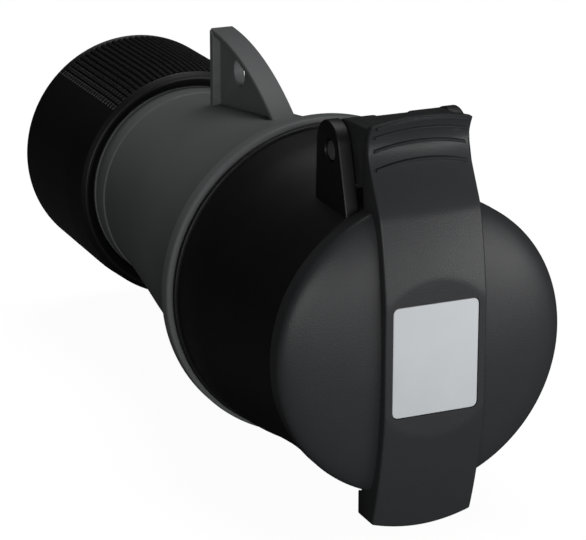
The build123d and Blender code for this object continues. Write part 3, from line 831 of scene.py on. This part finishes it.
@dataclass
class GlandNut(SubAssembly):
    """The gland nut: smooth sides, two knurled fields and a dished front face."""

    rear_x: float = -177.0
    front_x: float = -131.0
    radius: float = 32.2
    taper_x: float = -142.0
    taper: float = 0.7
    chamfer: float = 1.2
    hole_r: float = 17.0
    seat_x: float = -171.5
    bore_r: float = 26.3
    ring_r: float = 29.7
    face_r: float = 27.8
    dish: float = 1.2
    well: float = 3.4
    knurl_margin: float = 2.0
    knurl_depth: float = 0.85
    knurl_angle: float = 86.0
    rows: int = 24
    ribs: int = 28
    pad: Point = (0.24, 0.76)
    plain_sides: int = 40

    def field_turns(self) -> list[float]:
        """Lists the meridians: close ones over the knurled fields and wide ones between.

        Returns:
            Angles in radians from +Z.
        """
        half = self.knurl_angle / 2
        step = self.knurl_angle / self.ribs
        plain_step = (180.0 - self.knurl_angle) / self.plain_sides
        turns: list[float] = []
        for middle in (0.0, 180.0):
            low, high = middle - half, middle + half
            turns += [low + (rib + share) * step for rib in range(self.ribs) for share in (0.0, *self.pad)]
            turns += [high + plain_step * k for k in range(self.plain_sides)]
        return [radians(t) for t in turns]

    def knurl_span(self) -> Point:
        """Gives the stations between which the side is knurled."""
        return self.rear_x + self.knurl_margin, self.front_x - self.knurl_margin

    def knurl_stations(self) -> list[float]:
        """Lists the stations along the side where the rings' edges lie.

        Returns:
            Values of x from the rear to the front.
        """
        low, high = self.knurl_span()
        pitch = (high - low) / self.rows
        edges = [low + (row + share) * pitch for row in range(self.rows) for share in (0.0, *self.pad)]
        return [*edges, high]

    def side_r(self, x: float) -> float:
        """Gives the plain side's radius at a station, a little less towards the front."""
        return self.radius - self.taper * max(0.0, (x - self.taper_x) / (self.front_x - self.taper_x))

    def groove(self, share: float) -> float:
        """Gives the depth of a groove at a share of the way across a pad, from 0 to 1."""
        return max(0.0, 1 - min(share, 1 - share) / self.pad[0])

    def depth(self, x: float, r: float, angle: float) -> float:
        """Gives how far the nut's side is set in.

        Args:
            x: The station.
            r: The outline's radius there.
            angle: The angle from +Z in radians.

        Returns:
            The depth in millimetres.
        """
        low, high = self.knurl_span()
        if r < self.side_r(x) - SNUG or not low - SNUG <= x <= high + SNUG:
            return 0.0
        turn = (angle * 180 / pi + self.knurl_angle / 2) % 180
        if turn > self.knurl_angle + SNUG:
            return 0.0
        across = turn / self.knurl_angle * self.ribs
        along = (x - low) / (high - low) * self.rows
        return self.knurl_depth * max(self.groove(across % 1), self.groove(along % 1))

    def outline(self) -> list[Point]:
        """Draws the nut's section, with the knurl's stations along its side.

        Returns:
            Points as (x, radius).
        """
        rim_x = self.front_x - self.chamfer
        rim_r = self.side_r(rim_x)
        well_x = self.front_x - self.well
        return rounded([
            (self.rear_x, self.hole_r, 0.8),
            (self.rear_x, self.radius, 1.6),
            *((x, self.side_r(x), 0.0) for x in self.knurl_stations()),
            (rim_x, rim_r, 0.4),
            (self.front_x, rim_r - self.chamfer, 0.5),
            (self.front_x, self.ring_r, 0.4),
            (self.front_x - self.dish, self.face_r, 0.2),
            (well_x, self.face_r, 0.3),
            (well_x, self.bore_r, 0.3),
            (self.seat_x, self.bore_r, 0.5),
            (self.seat_x, self.hole_r, 0.5),
        ])

    def build(self) -> None:
        """Builds the nut."""
        nut = turned("gland_nut_knurled", self.outline(), self.field_turns(), self.depth)
        place(nut, Body.NUT, Slot.BLACK, self.finishes.black, "gland_nut")


@dataclass
class RearHousing(SubAssembly):
    """The grey rear housing: thread spigot, collar, flared body, flange and hanging eye."""

    thread_r: float = 26.0
    bore_r: float = 21.5
    shoulder_r: float = 18.0
    shoulder: Point = (-140.0, -136.0)
    collar_r: float = 27.4
    lip: float = 1.2
    groove: Point = (0.8, 0.7)
    band_r: float = 27.35
    band_lead: float = 0.3
    wall: float = 3.0
    mouth_r: float = 33.75
    mouth_x: float = -58.65
    body: tuple[Point, ...] = (
        (-125.5, 27.0), (-109.94, 28.59), (-85.49, 31.99), (-65.93, 34.76), (-48.0, 39.3)
    )
    inner_waist: Point = (-92.58, 26.66)
    flange_x: float = -48.0
    flange_round: float = 0.9
    eye: Triple = (-92.5, 40.6, 3.5)
    eye_half: float = 3.2
    web_half: float = 1.4
    eye_rim: float = 1.7
    eye_rear_x: float = -107.5
    eye_top_z: float = 49.2
    eye_front: Point = (-66.0, 34.0)
    eye_bulge: float = 3.3
    foot_z: float = 26.0
    foot_inset: float = 6.0
    rib: float = 2.2
    rib_proud: float = 0.3
    rib_under: Point = (0.4, 1.3)

    def outline(self) -> list[Point]:
        """Draws the housing's section.

        Returns:
            Points as (x, radius).
        """
        lip_x = AT.collar_x + self.lip
        band_x = lip_x + self.groove[0]
        floor_r = self.collar_r - self.groove[1]
        body_x, body_r = self.body[0]
        return rounded([
            (AT.thread_rear_x, self.bore_r, 0.3),
            (AT.thread_rear_x, self.thread_r, 0.4),
            (AT.collar_x, self.thread_r, 0.0),
            (AT.collar_x, self.collar_r, 0.35),
            (lip_x, self.collar_r, 0.25),
            (lip_x, floor_r, 0.1),
            (band_x, floor_r, 0.1),
            (band_x, self.band_r, 0.25),
            (body_x - self.band_lead, self.band_r, 0.3),
            *((x, r, 0.0) for x, r in flowing(self.body, 14)),
            (self.flange_x, AT.flange_r, self.flange_round),
            (AT.joint_x, AT.flange_r, self.flange_round),
            (AT.joint_x, self.mouth_r, 0.3),
            (self.mouth_x, self.mouth_r, 0.0),
            (self.mouth_x, self.mouth_r - self.wall, 0.3),
            (*self.inner_waist, 0.0),
            (body_x + self.wall, body_r - self.wall, 0.0),
            (self.shoulder[1], self.shoulder_r, 0.5),
            (self.shoulder[0], self.shoulder_r, 0.5),
            (self.shoulder[0], self.bore_r, 0.0),
        ])

    def eye_edge(self, inset: float) -> list[Point]:
        """Draws the eye's sloping edge, from its rear top to its front foot.

        Args:
            inset: How far inside the fin the curve lies.

        Returns:
            Points as (x, z).
        """
        rear = Vector((self.eye_rear_x, self.eye_top_z))
        front = Vector(self.eye_front)
        along = (front - rear).normalized()
        out = Vector((-along.y, along.x))
        control = (rear + front) / 2 + out * 2 * self.eye_bulge
        points = []
        for t in (k / 24 for k in range(25)):
            p = rear * (1 - t) ** 2 + control * 2 * t * (1 - t) + front * t ** 2 - out * inset
            points.append((p.x, p.y))
        return points

    def build(self) -> None:
        """Builds the housing with its hanging eye."""
        foot = [(self.eye_front[0] - self.foot_inset, self.foot_z), (self.eye_rear_x, self.foot_z)]
        top = self.eye_edge(0)
        under = self.eye_edge(self.eye_rim)
        half = self.eye_half + self.rib_proud
        rib_x = self.eye_rear_x + self.rib
        rear_x = self.eye_rear_x
        rear_z, front_z = (self.eye_top_z - drop for drop in self.rib_under)
        strip = [(rear_x, self.foot_z), (rib_x, self.foot_z), (rib_x, front_z), (rear_x, rear_z)]
        whole = joined("rear_housing_grey", [
            turned("rear_shell", self.outline()),
            slab("fin_web", under + foot, -self.web_half, self.web_half, 0.2, self.eye),
            slab("fin_rim", top + under[::-1], -self.eye_half, self.eye_half, 0.45),
            slab("fin_rib", strip, -half, half, 0.3),
        ])
        place(whole, Body.HOUSING, Slot.GREY, self.finishes.grey, "rear_housing", "eye_fin")


@dataclass
class FrontHousing(SubAssembly):
    """The black front housing: bead, drum, plug room, keyway wall and hinge ears."""

    bead: Triple = (-43.4, -41.9, 39.4)
    bead_proud: float = 1.0
    drum: tuple[Point, ...] = ((-41.9, 38.6), (-32.0, 38.3), (-21.8, 36.8), (-8.0, 35.5), (6.0, 35.2))
    partition: Point = (-42.0, -38.0)
    carrier_r: float = 28.9
    spigot_r: float = 33.6
    spigot_bore_r: float = 30.8
    spigot_x: float = -58.5
    ear_y: Point = (12.95, 16.35)
    ear_top: Triple = (-5.0, 45.2, 6.0)
    ear_foot: Triple = (-11.5, 5.5, 30.8)
    ear_edge: float = 0.45
    head_hole_r: float = 2.7
    keyway_half: float = 5.1
    keyway_r: float = 36.2
    keyway_thick: float = 2.6
    keyway_lead: float = 0.2
    keyway_chamfer: Point = (0.6, 0.5)

    def outline(self) -> list[Point]:
        """Draws the housing's section.

        Returns:
            Points as (x, radius).
        """
        rear, front, top = self.bead
        low = top - self.bead_proud
        return rounded([
            (AT.joint_x, self.spigot_r, 0.0),
            (AT.joint_x, low, 0.0),
            (rear, low, 0.0),
            (rear, top, 0.45),
            (front, top, 0.45),
            *((x, r, 0.0) for x, r in flowing(self.drum, 10)[:-1]),
            (AT.rim_x, self.drum[-1][1], 0.5),
            (AT.rim_x, AT.bore_r, 0.5),
            (self.partition[1], AT.bore_r, 0.3),
            (self.partition[1], self.carrier_r, 0.2),
            (self.partition[0], self.carrier_r, 0.2),
            (self.partition[0], self.spigot_bore_r, 0.2),
            (self.spigot_x, self.spigot_bore_r, 0.3),
            (self.spigot_x, self.spigot_r, 0.3),
        ])

    def ear_outline(self) -> list[Point]:
        """Draws one hinge ear from the side.

        Returns:
            Points as (x, z).
        """
        rear_x, front_x, foot_z = self.ear_foot
        x, z, r = self.ear_top
        front_turn = self.tangent_turn((front_x, foot_z), 1)
        rear_turn = self.tangent_turn((rear_x, foot_z), -1)
        return [(front_x, foot_z), *arc((x, z), (r, r), front_turn, rear_turn, 32), (rear_x, foot_z)]

    def tangent_turn(self, foot: Point, side: int) -> float:
        """Finds where a line from the ear's foot touches its round top.

        Args:
            foot: The foot's point as (x, z).
            side: 1 for the front edge and -1 for the rear edge.

        Returns:
            The angle round the ear's top, in radians from +X.
        """
        x, z, r = self.ear_top
        reach = hypot(foot[0] - x, foot[1] - z)
        turn = atan2(foot[1] - z, foot[0] - x) + side * acos(r / reach)
        return turn if side > 0 else turn % (2 * pi)

    def keyway_wall(self) -> Object:
        """Builds the thicker wall under the drum.

        Returns:
            The wall.
        """
        half = self.keyway_half / self.keyway_r
        down = -pi / 2
        inner = self.keyway_r - self.keyway_thick
        back = arc((0, 0), (inner, inner), down - half, down + half, 12)
        chamfer_x, chamfer_r = self.keyway_chamfer
        rear_x = self.bead[1] + self.keyway_lead
        rows = []
        for x, cut in ((rear_x, 0), (AT.rim_x - chamfer_x, 0), (AT.rim_x, chamfer_r)):
            r = self.keyway_r - cut
            face = arc((0, 0), (r, r), down + half, down - half, 12)
            rows.append([Vector((x, y, z)) * MM for y, z in face + back])
        return grid_solid("keyway_wall", rows)

    def build(self) -> None:
        """Builds the housing with its ears."""
        low, high = self.ear_y
        ear = self.ear_outline()
        whole = joined("front_housing_black", [
            turned("front_shell", self.outline()),
            self.keyway_wall(),
            slab("ear_left", ear, -high, -low, self.ear_edge, (AT.hinge_x, AT.hinge_z, self.head_hole_r)),
            slab("ear_right", ear, low, high, self.ear_edge, (AT.hinge_x, AT.hinge_z, AT.pin_hole_r)),
        ])
        place(whole, Body.HOUSING, Slot.BLACK, self.finishes.black, "front_housing")


@dataclass
class SprungLid(SubAssembly):
    """The lid: round dome, strap with thumb lever and finger tab, knuckle and label."""

    depth: float = 6.9
    wall: float = 2.5
    gasket_r: float = 34.3
    hollow_r: float = 31.5
    gasket_x: float = 8.5
    apex_x: float = 19.83
    strap_r: float = 130.0
    strap_edge: float = 0.45
    crown_r: float = 104.0
    low_z: float = -42.9
    top_z: float = 54.7
    arc_end_z: float = 33.0
    waist: Point = (9.2, 46.5)
    tip_x: float = 11.7
    tip_way: Point = (0.41, 0.91)
    lead: float = 6.0
    lever_steps: int = 12
    lever_thick: float = 2.8
    seat_z: float = 30.0
    end_rise: float = 2.0
    tab_rear_x: float = 5.4
    tab_clear_r: float = 37.1
    facet_x: float = 18.45
    label: Point = (21.2, 26.1)
    label_thick: float = 0.5
    label_edge: float = 0.12
    label_round: float = 1.6
    label_recess: float = 0.6
    label_gap: float = 0.15
    label_cut: float = 4.0
    grip_z: tuple[float, ...] = (54.2, 51.9, 48.7, 44.7)
    grip_inset: float = 1.4
    grip_size: Point = (0.5, 0.42)
    grip_proud: float = 0.1
    grip_drop: float = 0.35
    barrel_r: float = 6.8
    barrel_y: Point = (4.5, 12.4)
    barrel_lap: float = 0.3
    cheek: float = 2.6
    cheek_edge: float = 0.4
    cheek_waist: float = 1.6
    cheek_foot: float = 1.2
    roof: float = 2.6
    roof_under: float = 0.6
    roof_edge: float = 0.3

    def dome(self) -> Object:
        """Builds the round cap with its hollow inside.

        Returns:
            The cap.
        """
        inner = self.depth + AT.dome_x - self.wall - self.gasket_x
        cap = arc((AT.dome_x, 0), (self.depth, AT.lid_r), pi / 2, 0, 40)
        roof = arc((self.gasket_x, 0), (inner, self.hollow_r), 0, pi / 2, 30)
        edge = rounded([
            (*roof[-1], 0.0), (self.gasket_x, self.gasket_r, 0.0), (AT.lid_x, self.gasket_r, 0.3),
            (AT.lid_x, AT.lid_r, 0.5), (AT.dome_x, AT.lid_r, 0.0),
        ], closed=False)
        return turned("lid_dome", roof + edge[1:] + cap[1:], closed=False)

    def lean(self, y: float) -> float:
        """Gives how far the crowned strap lies back at a distance from its middle."""
        return self.crown_r - sqrt(self.crown_r ** 2 - y ** 2)

    def drop(self, y: float) -> float:
        """Gives how far the strap's ends draw in at a distance from its middle."""
        return self.end_rise * (y / AT.strap_half) ** 2

    def arc_x(self, z: float) -> float:
        """Gives the front of the strap's long arc at a height."""
        return self.apex_x - self.strap_r + sqrt(self.strap_r ** 2 - z ** 2)

    def front_x(self, z: float) -> float:
        """Gives the strap's front along its middle.

        Args:
            z: The height.

        Returns:
            The value of x.
        """
        if z <= self.arc_end_z:
            return self.arc_x(z)
        points = self.lever_points()
        for (x0, z0), (x1, z1) in zip(points, points[1:]):
            if z0 <= z <= z1:
                return x0 + (x1 - x0) * (z - z0) / (z1 - z0)
        return points[-1][0]

    def lever_points(self) -> list[Point]:
        """Draws the lever's front from the long arc's end to its tip.

        Returns:
            Points as (x, z).
        """
        z = self.arc_end_z
        start = Vector((self.arc_x(z), z))
        slope = Vector((-z, sqrt(self.strap_r ** 2 - z ** 2))).normalized()
        tip = Vector((self.tip_x, self.top_z))
        after = tip + Vector(self.tip_way) * self.lead
        points = flowing([start - slope * self.lead, start, self.waist, tip, after], self.lever_steps)
        return points[self.lever_steps:3 * self.lever_steps + 1]

    def section(self, y: float) -> list[Vector]:
        """Draws the strap's section at one distance from its middle.

        Args:
            y: The distance.

        Returns:
            Points round the section, in metres.
        """
        lean = self.lean(y)
        low = self.low_z + self.drop(y)
        high = self.top_z - self.drop(y)
        heights = [low + (high - low) * k / 120 for k in range(121)]
        front = [(min(self.front_x(z) - lean, self.facet_x), z) for z in heights]
        clear = sqrt(self.tab_clear_r ** 2 - y ** 2)
        rear = [
            (self.tip_x - self.lever_thick - lean, high),
            (self.waist[0] - self.lever_thick - lean, self.waist[1]),
            (AT.lid_x - lean, self.waist[1] - 2 * self.lever_thick),
            (AT.lid_x, self.seat_z),
            (AT.lid_x, -self.seat_z),
            (AT.lid_x, -clear),
            (self.tab_rear_x - lean, -clear),
            (self.tab_rear_x - lean, low),
        ]
        return [Vector((x, y, z)) * MM for x, z in front + rear]

    def strap(self) -> Object:
        """Builds the strap with its lever, flat and tab.

        Returns:
            The strap.
        """
        strap = grid_solid("lid_strap", [self.section(AT.strap_half * (k / 14 - 1)) for k in range(29)])
        soften(strap, self.strap_edge)
        cut_out(strap, self.label_block("label_cut", self.label_gap, self.label_cut))
        return strap

    def label_block(self, name: str, gap: float, thick: float) -> Object:
        """Builds a rounded block for the label or its recess.

        Args:
            name: The object's name.
            gap: How far it stands out round the label.
            thick: Its thickness, from the recess's floor.

        Returns:
            The block.
        """
        y, z = (side / 2 + gap for side in self.label)
        r = self.label_round
        outline = rounded([(-y, -z, r), (y, -z, r), (y, z, r), (-y, z, r)], steps=8)
        floor = self.facet_x - self.label_recess
        return grid_solid(name, [[Vector((x, *p)) * MM for p in outline] for x in (floor, floor + thick)])

    def grip_rib(self, z: float) -> Object:
        """Builds one arched grip line across the lever.

        Args:
            z: The line's height in the middle.

        Returns:
            The line.
        """
        rows = []
        for k in range(33):
            y = (AT.strap_half - self.grip_inset) * (k / 16 - 1)
            middle = z - self.grip_drop - self.drop(y)
            x = self.front_x(middle) - self.lean(y) + self.grip_proud
            bead = arc((x, middle), self.grip_size, 0, 2 * pi, 12)[:-1]
            rows.append([Vector((bead_x, y, bead_z)) * MM for bead_x, bead_z in bead])
        return grid_solid("grip_line", rows, 60)

    def knuckle(self) -> list[Object]:
        """Builds the cheeks, roof and barrels that reach the hinge pin.

        Returns:
            The pieces.
        """
        r = self.barrel_r
        near, far = self.barrel_y
        low_z = AT.hinge_z - r
        top_z = AT.hinge_z + r
        lever_z = self.top_z - self.end_rise - self.roof_under
        rear_x = self.tip_x - self.lever_thick
        round_back = arc((AT.hinge_x, AT.hinge_z), (r, r), -pi / 2, -3 * pi / 2, 24)
        side = round_back + [
            (rear_x, lever_z),
            (self.waist[0] - self.cheek_waist, self.waist[1]),
            (AT.lid_x + self.cheek_foot, low_z),
        ]
        hole = (AT.hinge_x, AT.hinge_z, AT.pin_hole_r)
        inner = far - self.cheek
        lap = inner + self.barrel_lap
        roof = [
            (AT.hinge_x, top_z), (rear_x + 0.6, lever_z), (rear_x + 0.2, lever_z - self.roof + 0.2),
            (AT.hinge_x, top_z - self.roof),
        ]
        pieces = [
            slab("cheek_right", side, inner, far, self.cheek_edge, hole),
            slab("cheek_left", side, -far, -inner, self.cheek_edge, hole),
            slab("knuckle_roof", roof, -lap, lap, self.roof_edge),
        ]
        for low, high in ((near, lap), (-lap, -near)):
            edge = self.cheek_edge
            ring = [(low, AT.pin_hole_r, 0.0), (low, r, edge), (high, r, edge), (high, AT.pin_hole_r, 0.0)]
            pieces.append(turned("barrel", rounded(ring), full_turn(PIN_SIDES), about=Axis.HINGE))
        return pieces

    def build(self) -> None:
        """Builds the lid and its label."""
        pieces = [self.dome(), self.strap(), *self.knuckle(), *[self.grip_rib(z) for z in self.grip_z]]
        whole = joined("lid_with_strap", pieces, LID_SHARP)
        place(whole, Body.LID, Slot.LID, self.finishes.lid, "lid")
        plate = self.label_block("label_bare", 0.0, self.label_thick)
        soften(plate, self.label_edge)
        place(plate, Body.LID, Slot.LABEL, self.finishes.label, "label_plate")


@dataclass
class HingeParts(SubAssembly):
    """The pin, its clip and the torsion spring."""

    pin_r: float = 2.0
    head_r: float = 2.3
    head_y: Point = (-16.2, -15.5)
    head_edge: float = 0.1
    pin_end_y: float = 17.95
    clip_y: Point = (16.35, 17.15)
    clip_r: float = 3.6
    mean_r: float = 2.9
    wire_r: float = 0.5
    pitch: float = 1.6
    coils: float = 4.25
    coil_steps: int = 40
    arm: float = 7.1
    arm_bend: float = 0.3
    hook: float = 1.6
    leg: float = 8.9

    def pin(self) -> Object:
        """Builds the headed pin.

        Returns:
            The pin.
        """
        front, under = self.head_y
        crown_y = under - self.head_edge
        path = arc((crown_y, 0), (front - crown_y, self.head_r), 0, pi / 2, 12) + rounded([
            (under, self.head_r, 0.0), (under, self.pin_r, 0.1), (self.pin_end_y, self.pin_r, 0.5),
            (self.pin_end_y, 0.0, 0.0),
        ], closed=False)
        return turned("hinge_pin_bright", path, full_turn(PIN_SIDES), about=Axis.HINGE, closed=False)

    def clip(self) -> Object:
        """Builds the push-on clip.

        Returns:
            The clip.
        """
        low, high = self.clip_y
        inner, outer = self.pin_r, self.clip_r
        path = rounded([(low, inner, 0.1), (low, outer, 0.2), (high, outer, 0.3), (high, inner, 0.1)])
        return turned("pin_clip_ring", path, full_turn(PIN_SIDES), about=Axis.HINGE)

    def spring(self) -> Object:
        """Builds the torsion spring with its hooked arm and its leg.

        Returns:
            The spring.
        """
        r = self.mean_r
        half = self.coils * self.pitch / 2
        steps = round(self.coils * self.coil_steps)
        coil = arc((0, 0), (r, r), pi / 2, pi / 2 + 2 * pi * self.coils, steps)
        points = [
            (self.arm, half, r + self.hook),
            (self.arm, half, r + self.arm_bend),
            (self.arm - self.arm_bend, half, r),
            *((x, half - 2 * half * k / steps, z) for k, (x, z) in enumerate(coil)),
            (-r, -half, -self.leg),
        ]
        centre = Vector((AT.hinge_x, 0, AT.hinge_z))
        curve = bpy.data.curves.new("lid_spring_coil", "CURVE")
        curve.dimensions = "3D"
        curve.bevel_depth = self.wire_r * MM
        curve.bevel_resolution = 5
        curve.use_fill_caps = True
        mesh = curve_mesh(curve, [[(centre + Vector(p)) * MM for p in points]], cyclic=False)
        mesh.name = curve.name
        mesh.shade_smooth()
        return new_object(curve.name, mesh)

    def build(self) -> None:
        """Builds the hinge's metal parts."""
        makers = {"hinge_pin": self.pin, "pin_clip": self.clip, "lid_spring": self.spring}
        for node, make in makers.items():
            place(make(), Body.HOUSING, Slot.STEEL, self.finishes.steel, node)


@dataclass
class InnerParts(SubAssembly):
    """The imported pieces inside, which keep their shape and get their finish here."""

    nodes: dict[str, Object]

    def build(self) -> None:
        """Dresses the carrier, contacts, seals and clamp."""
        finishes = self.finishes
        phases = [f"phase_contact_{i}" for i in range(1, 4)]
        springs = [f"contact_spring_{i}" for i in range(1, 5)]
        for finish, names in (
            (finishes.carrier, ["contact_carrier", "carrier_face", "carrier_back", "carrier_ring"]),
            (finishes.carrier, ["cable_clamp", "thrust_ring"]),
            (finishes.rubber, ["housing_seal", "cable_seal", "lid_gasket"]),
            (finishes.brass, ["earth_contact", *phases]),
            (finishes.steel, ["carrier_screws", "terminal_screws", *springs]),
        ):
            for name in names:
                mesh = self.nodes[name].data
                mesh.materials.clear()
                mesh.materials.append(finish)
                LOG.info("%s has finish %s", name, finish.name)


# Studio


@dataclass(frozen=True)
class Lamp:
    """A soft rectangular lamp: its place and sides in metres and its power in watts."""

    name: str
    where: Triple
    size: Point
    power: float
    target: Triple = (-0.05, 0.0, 0.0)

    def build(self) -> None:
        """Adds the lamp, facing the coupler and hidden from the camera."""
        light = bpy.data.lights.new(self.name, "AREA")
        light.shape = "RECTANGLE"
        light.size, light.size_y = self.size
        light.energy = self.power
        lamp = new_object(self.name, light)
        lamp.location = self.where
        lamp.rotation_euler = (lamp.location - Vector(self.target)).to_track_quat("Z", "Y").to_euler()
        lamp.visible_camera = False


@dataclass
class Studio:
    """The floor, backdrop light, lamps and camera."""

    camera_mm: Triple = (506.17, -248.63, 202.53)
    azimuth: float = 66.342
    elevation: float = 18.382
    focal_px: float = 2600.0
    width_px: float = 586.0
    sensor: float = 36.0
    floor_z: float = -43.4
    floor_half: float = 6.0
    glow: float = 1.13
    glow_share: float = 0.85
    room_light: float = 0.015
    lamps: tuple[Lamp, ...] = (
        Lamp("front_left", (0.912, -0.511, 0.153), (0.7, 0.3), 3.4),
        Lamp("front_right", (0.784, 0.7, 0.153), (0.7, 0.3), 1.3),
        Lamp("low_front", (0.468, 0.044, 0.0), (0.28, 0.07), 0.4),
        Lamp("low_right", (0.353, 0.321, 0.0), (0.28, 0.07), 0.6),
        Lamp("top", (-0.3, 0.25, 1.2), (1.0, 0.6), 5.5),
    )

    def camera(self) -> None:
        """Places the camera at the photograph's viewpoint."""
        data = bpy.data.cameras.new("camera")
        data.sensor_width = self.sensor
        data.lens = self.focal_px * self.sensor / self.width_px
        data.clip_end = 20.0
        camera = new_object("camera", data)
        a, e = radians(self.azimuth), radians(self.elevation)
        back = Vector((sin(a) * cos(e), -cos(a) * cos(e), sin(e)))
        camera.location = Vector(self.camera_mm) * MM
        camera.rotation_euler = back.to_track_quat("Z", "Y").to_euler()
        bpy.context.scene.camera = camera

    def floor(self) -> None:
        """Lays the pale floor, which glows for the camera alone."""
        bm = bmesh.new()
        bmesh.ops.create_grid(bm, x_segments=2, y_segments=2, size=self.floor_half)
        floor = finish_mesh("floor", bm)
        floor.location.z = self.floor_z * MM
        material, tree, shader = new_material("floor_pale")
        shader.inputs["Base Color"].default_value = (0.9, 0.9, 0.9, 1)
        shader.inputs["Roughness"].default_value = 0.9
        glow = add_node(tree, "ShaderNodeEmission", {"Strength": self.glow})
        dim = add_node(tree, "ShaderNodeBsdfDiffuse", {"Color": (0.08, 0.08, 0.08, 1)})
        path = add_node(tree, "ShaderNodeLightPath")
        pale = add_node(tree, "ShaderNodeMixShader", {"Fac": self.glow_share})
        mix = add_node(tree, "ShaderNodeMixShader")
        link_all(tree, [
            (shader.outputs["BSDF"], pale.inputs[1]),
            (glow.outputs["Emission"], pale.inputs[2]),
            (path.outputs["Is Camera Ray"], mix.inputs["Fac"]),
            (dim.outputs["BSDF"], mix.inputs[1]),
            (pale.outputs["Shader"], mix.inputs[2]),
            (mix.outputs["Shader"], find_node(tree, "ShaderNodeOutputMaterial").inputs["Surface"]),
        ])
        floor.data.materials.append(material)
        floor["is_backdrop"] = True

    def world(self) -> None:
        """Lights the room a little and evenly, and shows it white to the camera."""
        world = bpy.data.worlds.new("room")
        bpy.context.scene.world = world
        world.use_nodes = True
        tree = world.node_tree
        background = find_node(tree, "ShaderNodeBackground")
        background.inputs["Color"].default_value = (1, 1, 1, 1)
        path = add_node(tree, "ShaderNodeLightPath")
        strength = add_node(tree, "ShaderNodeMapRange", {"To Min": self.room_light, "To Max": 1.0})
        link_all(tree, [
            (path.outputs["Is Camera Ray"], strength.inputs["Value"]),
            (strength.outputs["Result"], background.inputs["Strength"]),
        ])

    def build(self) -> None:
        """Sets up the studio."""
        self.camera()
        self.floor()
        self.world()
        for lamp in self.lamps:
            lamp.build()
        bpy.context.scene.view_settings.view_transform = "Standard"


def corners(bounds: Sequence[Vector]) -> list[list[float]]:
    """Turns a box's corners into plain lists of numbers."""
    return [[float(v) for v in corner] for corner in bounds]


def main() -> None:
    """Loads the frame and builds the coupler and its studio."""
    logging.basicConfig(level=logging.INFO, format="%(name)s: %(message)s")
    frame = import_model()
    cad_box = corners(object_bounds())
    finishes = Finishes.make()
    Studio().build()
    for kind in (GlandNut, RearHousing, FrontHousing, SprungLid, HingeParts):
        kind(finishes).build()
    InnerParts(finishes, frame["nodes"]).build()
    {"cad": cad_box, "visual": corners(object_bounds())}


if __name__ == "__main__":
    main()
